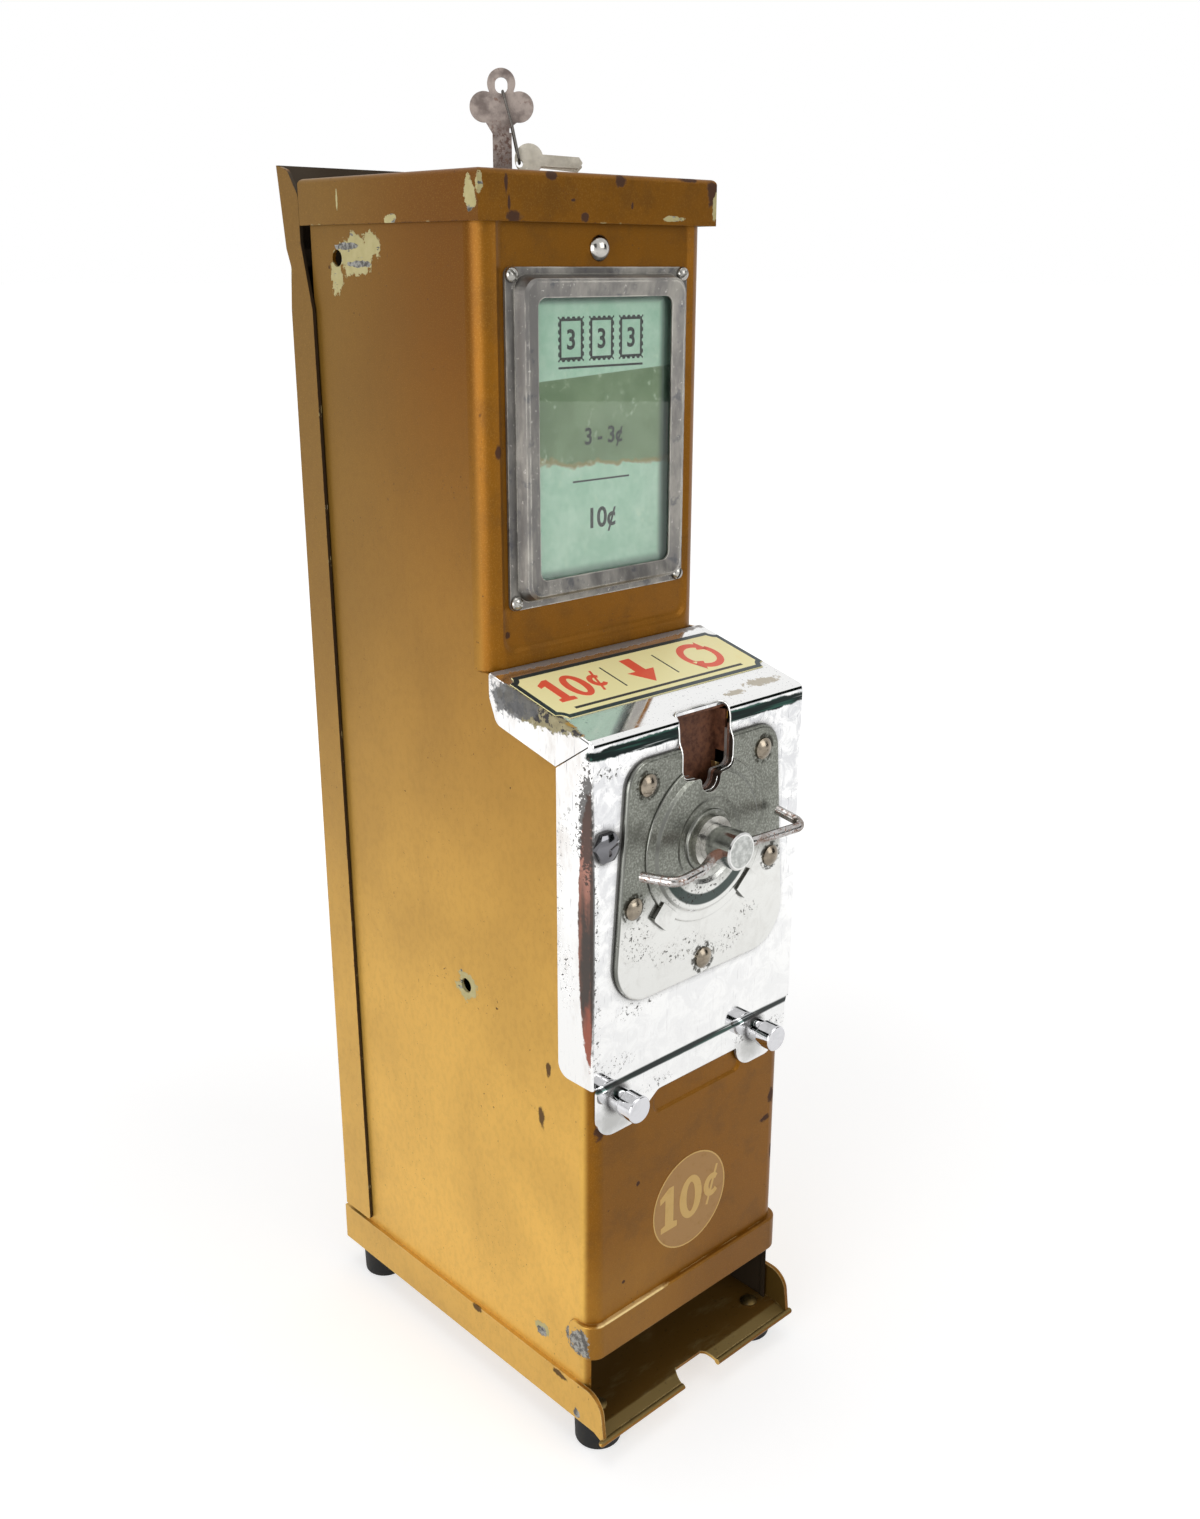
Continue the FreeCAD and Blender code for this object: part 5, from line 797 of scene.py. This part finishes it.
def faded_card():
    """Mint card behind the window, with an old tape band torn across its middle, and painted
    shadow along its right, top and lower edges.
    """
    f = Finish("mint_card")
    fibre = f.noise(1.6, 4.0, 0.6)
    f.colour = f.mix(f.clumps(11.0, 6.0, 0.72, 0.35, 0.7), PAPER_DARK, PAPER_PALE)
    f.over(PAPER_FIBRE, f.step(fibre, 0.4, 0.7), 0.15)
    height = f.axis("Z")
    lower = f.uneven_height(f.noise(11.0, 5.0, 0.62), 0.01, TAPE_TILT)
    upper = f.sums("SUBTRACT", height, f.times(f.axis("X"), TAPE_TILT))
    band = f.times(f.step(lower, TAPE_LOW, TAPE_LOW + 0.0003),
                   f.step(upper, TAPE_HIGH, TAPE_HIGH - 0.0004))
    f.over(f.mix(f.step(f.noise(20.0), 0.3, 0.7), TAPE_DARK, TAPE_PALE), band)
    f.over(TAPE_TORN, f.step(lower, TAPE_LOW - 0.0009, TAPE_LOW - 0.0001),
           f.step(lower, TAPE_LOW + 0.0016, TAPE_LOW + 0.0002), 0.75)
    f.over(PAPER_SHADE, f.step(f.noise(30.0), 0.45, 0.75), 0.25)
    f.over(PAPER_BLEACH, f.clumps(3.4, 5.0, 0.7, 0.54, 0.66),
           f.clumps(18.0, 2.0, 0.55, 0.45, 0.65), 0.5)
    # painted shadow from the window's frame along the card's right, top and lower edges
    edge = f.most(f.step(f.axis("X"), 0.0262, 0.0296), f.step(height, 0.4003, 0.4028),
                  f.times(f.step(height, 0.3172, 0.3142), 0.6))
    f.over(PAPER_EDGE_SHADOW, edge, 0.8)
    f.set(Roughness=0.75)
    f.bump(fibre, 0.03, 0.4)
    f.bump(band, 0.1, 0.5)
    return f.material


def printed(name, colour, fade, amount, rough):
    """Ink or paper with uneven fading and a slightly fibrous face."""
    f = Finish(name)
    worn = f.clumps(5.0, 5.0, 0.7, 0.5, 0.78)
    f.set(Base_Color=f.mix(f.times(worn, amount), colour, fade),
          Roughness=f.blend(worn, rough, rough + 0.2))
    f.bump(f.noise(1.5, 4.0), 0.02, 0.4)
    return f.material


# ---- finishes on the CAD's pieces


def give(finish, *nodes):
    """Gives carried-over nodes a finish."""
    for name in nodes:
        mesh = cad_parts[name].data
        mesh.materials.clear()
        mesh.materials.append(finish)


GOLD = gold_enamel(
    "gold_case",
    chips=[((-50, 116, 416), (1.5, 11.0, 6.5)), ((-50, 127, 409), (1.5, 3.5, 6)),
           ((-50, 106, 419), (1.5, 5.0, 4.0)), ((-50, 67.8, 165.4), (1.5, 5.2, 5.4)),
           ((-50, 28, 39), (1.5, 4.0, 2.6)), ((48.5, 51, 405), (1.4, 2, 10))],
    bare=[((-50, 9, 46), (1.5, 5.5, 6)), ((-50, 28, 37.5), (1.5, 2.4, 2.0)),
          ((-50, 121, 418.6), (1.5, 6.5, 1.1)), ((-50, 114, 413.0), (1.5, 7.0, 1.0))],
    stains=[((-50, 27, 129), (1, 1.6, 4)), ((-50, 23, 150), (1, 1.2, 3)),
            ((45, 1.7, 110), (2.0, 1, 3.0)), ((-27, 1.7, 104), (0.9, 1, 0.9)),
            ((-44, 51, 357), (1.0, 3, 2.0)), ((-41, 50.4, 297), (1.2, 2, 1.2)),
            # the two stains at x -50 near z 266 to 270 are painted shade behind the cover's mitre
            # gap
            ((-50, 5.0, 269.8), (1, 4, 4)), ((-50, 11, 266.0), (1, 4, 4)),
            ((-47, 1.7, 133), (2.6, 1, 4.0)), ((42, 1.7, 101), (2.6, 1, 1.4)),
            ((46.5, 1.7, 84), (0.8, 1, 4.0)), ((-34, 1.7, 66), (0.9, 1, 0.7))])
GOLD_CAP = gold_enamel(
    "gold_cap", 0.95, inward=0.0,
    chips=[((-52, 52, 433), (1, 2.6, 4.5)), ((-51.4, 48.3, 436), (1.2, 1.5, 3.4)),
           ((31, 48.3, 427.4), (5.0, 1, 0.9)), ((-52.1, 92.5, 426.4), (1, 3.2, 1.7)),
           ((51.6, 49, 431), (1.6, 2, 5)), ((-52.1, 122, 433), (1, 0.5, 3.2))],
    stains=[((-22.7, 48.3, 439), (2.2, 2, 1.4)), ((6.7, 48.3, 438.0), (2.2, 2, 2.0)),
            ((-8.6, 48.3, 427), (1.7, 1, 1.3)), ((-38.2, 48.3, 426.8), (2.8, 1, 1.6)),
            ((50, 48.3, 436), (2.4, 2, 4)), ((-41, 48.3, 436), (0.6, 1, 3.0)),
            ((-40, 48.3, 431), (0.5, 1, 2.2)), ((38, 48.3, 440), (4, 2, 0.9)),
            ((-14, 48.3, 432), (0.9, 1, 0.5)), ((12, 48.3, 431), (0.5, 1, 1.1))])
# the rail's shining edges and the strip at its top left carry a painted highlight
GOLD_RAIL = gold_enamel("gold_rail", 0.92, bare=[((-50.6, 7, 46), (1.5, 5, 6))], rubbed=0.85,
                        painted_highlights=[((-31, 0.4, 54.3), (17, 1.6, 1.6))])
GOLD_DOOR = gold_enamel("gold_door", 0.9, chips=[((-50, 155, 398), (2, 3, 2.4))], inward=-1.0)
GOLD_BASE = gold_enamel("gold_base", 0.86, bare=[((-51.6, 7.4, 14.5), (1, 1.6, 2.0))],
                        stains=[((-51.6, 17, 26), (1, 4, 1.2)), ((-51.6, 65, 27), (1, 3, 1.2))],
                        rubbed=0.6, trough=True, inside=INSIDE_BASE_SHADE)
give(GOLD, "case_shell")
give(GOLD_CAP, "top_cap")
give(GOLD_RAIL, "front_rail")
give(GOLD_DOOR, "rear_door")
give(GOLD_BASE, "base_tray")
give(cover_chrome(), "coin_cover")
give(chrome("stud_chrome", (0.66, 0.66, 0.68), 0.3, 0.05), "cover_studs")
give(chrome("screw_chrome", (0.44, 0.42, 0.39), 0.6, 0.14), "cap_screw")
give(chrome("bolt_chrome", (0.17, 0.17, 0.18), 0.5, 0.1), "side_bolt")
give(shaft_metal(), "handle_shaft")
give(rod_steel(), "handle_rod")
give(plate_metal(), "face_plate")
give(bezel_pewter(), "window_bezel")
give(slot_rust(), "coin_cup")
give(key_steel(), "main_key")

# Name, dark and pale tone, roughness, lump size, share of dirt, and the pieces it covers
METALS = [
    ("bush_nickel", (0.4, 0.39, 0.35), (0.62, 0.61, 0.57), (0.2, 0.4), 1.5, 0.5,
     ["shaft_bush_front", "shaft_bush_rear"]),
    ("rivet_nickel", (0.155, 0.128, 0.098), (0.37, 0.32, 0.25), (0.14, 0.28), 1.2, 0.5,
     ["face_rivets"]),
    ("zinc_plate", (0.4, 0.41, 0.4), (0.58, 0.59, 0.58), (0.35, 0.55), 3.0, 0.2,
     ["cap_bracket", "door_hook", "mechanism_frame", "ejector_blade", "folder_shelf",
      "magazine", "folder_chute", "coin_chute", "lock_cam"]),
    ("wheel_brass", (0.42, 0.29, 0.11), (0.68, 0.5, 0.22), (0.28, 0.5), 2.0, 0.3,
     ["coin_wheel", "drive_pinion", "ejector_rack"]),
    ("hard_steel", (0.22, 0.22, 0.22), (0.42, 0.42, 0.42), (0.3, 0.5), 1.5, 0.3,
     ["ratchet_wheel", "ratchet_pawl", "pawl_pin", "follower_weight"]),
    ("box_steel", (0.16, 0.17, 0.165), (0.26, 0.27, 0.265), (0.45, 0.6), 4.0, 0.3, ["cash_box"]),
    ("painted_screw", (0.11, 0.07, 0.022), (0.22, 0.155, 0.06), (0.35, 0.55), 1.4, 0.5,
     ["foot_screws"]),
    ("lock_nickel", (0.4, 0.38, 0.33), (0.6, 0.58, 0.52), (0.2, 0.45), 1.8, 0.5,
     ["lock_body", "lock_nut"]),
    ("plug_brass", (0.34, 0.27, 0.14), (0.52, 0.43, 0.25), (0.3, 0.5), 1.5, 0.5, ["lock_plug"]),
    ("wire_steel", (0.06, 0.055, 0.05), (0.12, 0.11, 0.1), (0.3, 0.5), 1.2, 0.5, ["wire_loop"]),
    ("spare_nickel", (0.48, 0.44, 0.36), (0.68, 0.64, 0.55), (0.25, 0.45), 1.6, 0.2,
     ["spare_key_front", "spare_key_rear"])]
for *recipe, covered in METALS:
    give(bare_metal(*recipe), *covered)
give(rubber(), "foot_front_left", "foot_front_right", "foot_rear_left", "foot_rear_right")
give(window_pane(), "window_glass")
give(faded_card(), "price_card")
give(printed("label_yellow", LABEL_YELLOW, LABEL_STAIN, 0.35, 0.35), "slope_label")

# ---- printed marks

FRONT_AXES = (Vector((1, 0, 0)), Vector((0, 0, 1)))
SLOPE_ANGLE = math.radians(14.5)
SLOPE_AXES = (Vector((1, 0, 0)), Vector((0, math.cos(SLOPE_ANGLE), math.sin(SLOPE_ANGLE))))
SLOPE_FRONT = 273.3
LABEL_HALF = 49.6
LABEL_REACH = (15.3, 43.6)
LABEL_NOTCH = 3.2
LABEL_BORDER = (0.05, 1.9)       # how far in the border's two outlines are
LABEL_THICKNESS = 0.3
DECAL_FACE = 1.7
DECAL_HEIGHT = 84.6
DECAL_RADIUS = 19.2
DECAL_RIM = 0.55
CARD_FACE = 50.9
PRINT_THICKNESS = 0.05
PRINT_WEIGHT = 0.022             # how much bolder the built-in face is made, by its size
ARROW_HEAD = 2.2                 # half width of a turning arrow's head, by that of its band
ARROW_SWEEP = 38                 # degrees from the head's foot to its tip
STAMP_BITES = (5, 6)             # along a stamp's short and long edges
STAMP_BITE = 0.62

RED_INK = printed("red_ink", (0.85, 0.105, 0.05), (0.95, 0.4, 0.18), 0.3, 0.4)
BLACK_INK = printed("black_ink", (0.012, 0.014, 0.012), (0.1, 0.12, 0.08), 0.3, 0.45)
TEAL_INK = printed("teal_ink", (0.008, 0.024, 0.028), (0.06, 0.08, 0.07), 0.2, 0.35)
DECAL_TAN = printed("decal_tan", (0.385, 0.195, 0.045), (0.24, 0.105, 0.014), 0.45, 0.42)
DECAL_PALE = printed("decal_pale", (0.64, 0.4, 0.115), (0.42, 0.22, 0.055), 0.35, 0.42)


def plane_at(place, axes, lift):
    """Matrix of a plane whose X and Y run along the two axes, lifted towards the viewer."""
    right, up = axes
    out = right.cross(up)
    turn = Matrix((right, up, out)).transposed().to_4x4()
    return Matrix.Translation(place + out * lift * MM) @ turn


def arc(u, v, radius, start, end, squeeze=1.0, steps=24):
    """Points in millimetres along an arc, or an ellipse where squeeze narrows it."""
    points = []
    for number in range(steps + 1):
        angle = math.radians(start + (end - start) * number / steps)
        points.append((u + radius * squeeze * math.cos(angle), v + radius * math.sin(angle)))
    return points


def ring_of(u, v, radius, squeeze=1.0):
    return arc(u, v, radius, 0, 360, squeeze, 48)[:-1]


def box_of(u, v, half_width, half_height):
    return [(u - half_width, v - half_height), (u + half_width, v - half_height),
            (u + half_width, v + half_height), (u - half_width, v + half_height)]


def scaled(points, size, u, v):
    return [(u + x * size, v + y * size) for x, y in points]


def on_case(name, data, finish, plane=Matrix()):
    """Object of some curve, text or mesh in its finish, riding on the case."""
    piece = bpy.data.objects.new(name, data)
    piece.matrix_world = plane
    bpy.context.collection.objects.link(piece)
    data.materials.append(finish)
    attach(piece, "case")
    return piece


def marks(name, outlines, plane, ink, thickness=PRINT_THICKNESS):
    """Flat printed shape from closed outlines in millimetres; an outline inside one is a hole."""
    data = bpy.data.curves.new(name, "CURVE")
    data.dimensions = "2D"
    data.fill_mode = "BOTH"
    data.extrude = thickness * MM / 2
    for points in outlines:
        spline = data.splines.new("POLY")
        spline.points.add(len(points) - 1)
        for target, (u, v) in zip(spline.points, points):
            target.co = (u * MM, v * MM, 0.0, 1.0)
        spline.use_cyclic_u = True
    on_case(name, data, ink, plane)


def numerals(name, body, size, plane, u, v, ink):
    """Plain numerals, such as a price, set in the built-in face and centred on (u, v)."""
    data = bpy.data.curves.new(name, "FONT")
    data.body = body
    data.size = size * MM
    data.align_x = "CENTER"
    data.extrude = PRINT_THICKNESS * MM / 2
    data.offset = size * MM * PRINT_WEIGHT
    on_case(name, data, ink, plane @ Matrix.Translation((u * MM, v * MM, 0)))


# Numerals of height 1 with slab feet, drawn from their left foot
ONE = [(0.03, 0), (0.5, 0), (0.5, 0.13), (0.39, 0.16), (0.39, 1.0), (0.25, 1.0), (0.0, 0.84),
       (0.0, 0.7), (0.15, 0.76), (0.15, 0.16), (0.03, 0.13)]
ZERO = [ring_of(0.9, 0.5, 0.5, 0.66), ring_of(0.9, 0.5, 0.35, 0.36)]
CENT_BOWL = arc(1.53, 0.5, 0.27, 42, 318, 0.88) + arc(1.55, 0.5, 0.14, 318, 42, 0.8)
CENT_SLASH = [(1.36, 0.08), (1.42, 0.06), (1.71, 0.93), (1.65, 0.95)]


def price_marks(name, plane, size, u, v, ink):
    """The price in slab numerals, its lower left corner at (u, v)."""
    shapes = [ONE, *ZERO, CENT_BOWL]
    marks(name, [scaled(shape, size, u, v) for shape in shapes], plane, ink)
    marks(name + "_slash", [scaled(CENT_SLASH, size, u, v)], plane, ink, 0.8 * PRINT_THICKNESS)


def turning_arrow(u, v, radius, half, start, end):
    """Curved arrow along a circle, its head past the end angle."""
    turn = 1 if end > start else -1
    head = ARROW_HEAD * half
    tip = math.radians(end + turn * ARROW_SWEEP)
    last = math.radians(end)
    barbs = [(u + (radius + head) * math.cos(last), v + (radius + head) * math.sin(last)),
             (u + radius * math.cos(tip), v + radius * math.sin(tip)),
             (u + (radius - head) * math.cos(last), v + (radius - head) * math.sin(last))]
    return arc(u, v, radius + half, start, end) + barbs + arc(u, v, radius - half, end, start)


def notched_sheet(half_width, half_height, inset):
    """Rectangle with a hollow quarter circle out of each corner, drawn in by the inset."""
    bite = LABEL_NOTCH + inset
    reach = math.degrees(math.asin(inset / bite))
    points = []
    for side, end, start in ((1, 1, 270), (-1, 1, 360), (-1, -1, 90), (1, -1, 180)):
        points += arc(side * half_width, end * half_height, bite, start - reach,
                      start - 90 + reach, steps=10)
    return points


def perforated(u, v, half_width, half_height):
    """Outline of a stamp: a rectangle with round bites along its edges."""
    points = []
    corners = box_of(u, v, half_width, half_height)
    for number in range(4):
        start, end = Vector(corners[number]), Vector(corners[(number + 1) % 4])
        along = end - start
        facing = math.degrees(math.atan2(along.y, along.x))
        count = STAMP_BITES[number % 2]
        points.append(tuple(start))
        for place in range(count):
            centre = start.lerp(end, (place + 0.5) / count)
            points += arc(centre.x, centre.y, STAMP_BITE, facing + 180, facing, steps=6)
    return points


def slope_print():
    """Border, price, arrows and rule on the sloping label."""
    middle = sum(LABEL_REACH) / 2
    place = at(0, middle, SLOPE_FRONT + middle * math.tan(SLOPE_ANGLE))
    plane = plane_at(place, SLOPE_AXES, LABEL_THICKNESS + PRINT_THICKNESS / 2)
    half = (LABEL_REACH[1] - middle) / math.cos(SLOPE_ANGLE)
    marks("label_border", [notched_sheet(LABEL_HALF, half, inset) for inset in LABEL_BORDER],
          plane, TEAL_INK)
    price_marks("label_price", plane, 14.5, -42, -5.6, RED_INK)
    marks("label_arrow_down", [[(-2.4, 9.6), (2.4, 9.6), (2.4, 1), (6.2, 1), (0, -7.0), (-6.2, 1),
                                (-2.4, 1)]], plane, RED_INK)
    marks("label_dividers", [box_of(u, 1.5, 0.3, 7.0) for u in (-12.5, 12.5)], plane, BLACK_INK)
    marks("label_turn", [turning_arrow(30, 1.2, 7.4, 1.35, 215, 60),
                         turning_arrow(30, 1.2, 7.4, 1.35, 35, -120)], plane, RED_INK)
    marks("label_rule", [box_of(0, -10.1, 40, 0.6)], plane, BLACK_INK)


def front_decal():
    """Round price mark on the lower panel, an old transfer worn thin."""
    place = at(0, DECAL_FACE, DECAL_HEIGHT)
    proud = plane_at(place, FRONT_AXES, 0.08)
    disc = ring_of(0, 0, DECAL_RADIUS)
    marks("decal_disc", [disc], plane_at(place, FRONT_AXES, 0.03), DECAL_TAN)
    marks("decal_ring", [disc, ring_of(0, 0, DECAL_RADIUS - DECAL_RIM)], proud, DECAL_PALE)
    price_marks("decal_price", proud, 18.0, -15.6, -8.2, DECAL_PALE)


def card_print():
    """Numerals and rules on the mint card."""
    plane = plane_at(at(0, CARD_FACE, 0), FRONT_AXES, 0.03)
    numerals("card_price", "10¢", 9.4, plane, 0, 328.5, BLACK_INK)
    numerals("card_count", "3 - 3¢", 7.6, plane, 1.0, 356.4, BLACK_INK)
    marks("card_rule_head", [box_of(0, 381.35, 19, 0.35)], plane, BLACK_INK)
    marks("card_rule_low", [box_of(0, 344.5, 13, 0.3)], plane, BLACK_INK)
    for number, u in enumerate((-13.5, 0, 13.5)):
        marks(f"card_stamp_{number}", [perforated(u, 390.2, 5.6, 7.0), box_of(u, 390.2, 4.2, 5.6)],
              plane, BLACK_INK)
        numerals(f"card_stamp_value_{number}", "3", 8.6, plane, u, 387.2, BLACK_INK)


slope_print()
front_decal()
card_print()

# ---- small metal pieces

SCREW_RADIUS = 2.4
SCREW_HEIGHT = 2.0
SCREW_LIP = 0.35
SHANK_RADIUS = 1.2
SHANK_LENGTH = 4.4
DOME_STEPS = 8
TURNED_STEPS = 40
SCREW_FACE = 50.5
# Places across and up, and the turn of each driver's slot in degrees
SCREWS = [(-37.9, 307.2, 28), (37.9, 307.2, -62), (-37.9, 410.0, 50), (37.9, 410.0, -35)]
RIM_RADIUS = 0.27
# Right half of the slot's lip from its foot to the top, with the share of the radius there
RIM = [(0, -1.9, 246.4, 0.8), (3.0, -1.9, 246.8, 0.8), (4.5, -1.9, 249.2, 0.8),
       (5.0, -1.9, 251.6, 0.8), (7.0, -1.9, 252.3, 0.8), (10.6, -1.9, 252.6, 0.8),
       (12.2, -1.9, 254.4, 0.8), (12.3, -1.9, 258, 0.9), (12.3, -1.9, 262.4, 0.9),
       (12.3, -0.9, 264.2, 0.9), (12.3, -0.2, 266, 1.0), (12.4, -0.1, 270, 1.1),
       (12.3, 0.6, 272.8, 1.2), (12.0, 2.6, 274.2, 1.3), (9.6, 3.5, 274.6, 1.25),
       (5.4, 3.3, 274.4, 1.1), (1.6, 3.7, 274.7, 1.2)]


def screw_profile():
    """Radii and reaches of a domed head on a shank, from its crown to its end."""
    dome = [(0, -SCREW_HEIGHT)]
    for number in range(1, DOME_STEPS + 1):
        angle = math.radians(90 * number / DOME_STEPS)
        dome.append((SCREW_RADIUS * math.sin(angle),
                     -SCREW_LIP - (SCREW_HEIGHT - SCREW_LIP) * math.cos(angle)))
    return dome + [(SCREW_RADIUS, 0), (SHANK_RADIUS, 0), (SHANK_RADIUS, SHANK_LENGTH),
                   (0, SHANK_LENGTH)]


def turned(name, profile, place):
    """Mesh of a profile of (radius, reach to the rear) in millimetres, turned along Y."""
    shape = bmesh.new()
    rings = []
    for radius, reach in profile:
        centre = place + Vector((0, reach * MM, 0))
        if radius == 0:
            rings.append([shape.verts.new(centre)])
            continue
        ring = []
        for number in range(TURNED_STEPS):
            angle = 2 * math.pi * number / TURNED_STEPS
            away = Vector((radius * math.cos(angle), 0, radius * math.sin(angle))) * MM
            ring.append(shape.verts.new(centre + away))
        rings.append(ring)
    for before, after in zip(rings, rings[1:]):
        for number in range(TURNED_STEPS):
            follow = (number + 1) % TURNED_STEPS
            corners = [before[number % len(before)], before[follow % len(before)],
                       after[follow % len(after)], after[number % len(after)]]
            shape.faces.new(list(dict.fromkeys(corners)))
    bmesh.ops.recalc_face_normals(shape, faces=shape.faces)
    mesh = bpy.data.meshes.new(name)
    shape.to_mesh(mesh)
    shape.free()
    return mesh


def slotted_screw(name, place, turn, finish):
    """Domed screw with a driver's slot across its head."""
    piece = on_case(name, turned(name, screw_profile(), place), finish)
    for face in piece.data.polygons:
        face.use_smooth = True
    bpy.ops.mesh.primitive_cube_add(size=1.0)
    blade = bpy.context.object
    blade.scale = (3 * SCREW_RADIUS * MM, SCREW_HEIGHT * 0.9 * MM, SCREW_RADIUS * 0.3 * MM)
    blade.rotation_euler = (0, math.radians(turn), 0)
    blade.location = place + Vector((0, -SCREW_HEIGHT * MM, 0))
    bpy.context.view_layer.update()
    cut = piece.modifiers.new("slot", "BOOLEAN")
    cut.operation = "DIFFERENCE"
    cut.solver = "EXACT"
    cut.object = blade
    settled = piece.evaluated_get(bpy.context.evaluated_depsgraph_get())
    mesh = bpy.data.meshes.new_from_object(settled)
    piece.modifiers.clear()
    piece.data = mesh
    bpy.data.objects.remove(blade)
    return piece


def bezel_fixings():
    finish = bare_metal("screw_nickel", (0.26, 0.25, 0.23), (0.5, 0.49, 0.46), (0.16, 0.3), 1.0,
                        0.4)
    screws = [slotted_screw(f"bezel_screw_{number}", at(x, SCREW_FACE, z), turn, finish)
              for number, (x, z, turn) in enumerate(SCREWS)]
    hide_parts("bezel_screws")


def slot_rim():
    """Curled bright lip round the coin slot, closed through plate, bend and top edge."""
    points = RIM + [(-x, y, z, share) for x, y, z, share in reversed(RIM[1:])]
    data = bpy.data.curves.new("slot_rim", "CURVE")
    data.dimensions = "3D"
    data.bevel_depth = RIM_RADIUS * MM
    data.bevel_resolution = 4
    data.resolution_u = 8
    spline = data.splines.new("NURBS")
    spline.points.add(len(points) - 1)
    for target, (x, y, z, share) in zip(spline.points, points):
        target.co = (*at(x, y, z), 1.0)
        target.radius = share
    spline.use_cyclic_u = True
    spline.order_u = 3
    on_case("slot_rim", data, chrome("rim_chrome", (0.74, 0.74, 0.72), 0.9, 0.1))


bezel_fixings()
slot_rim()
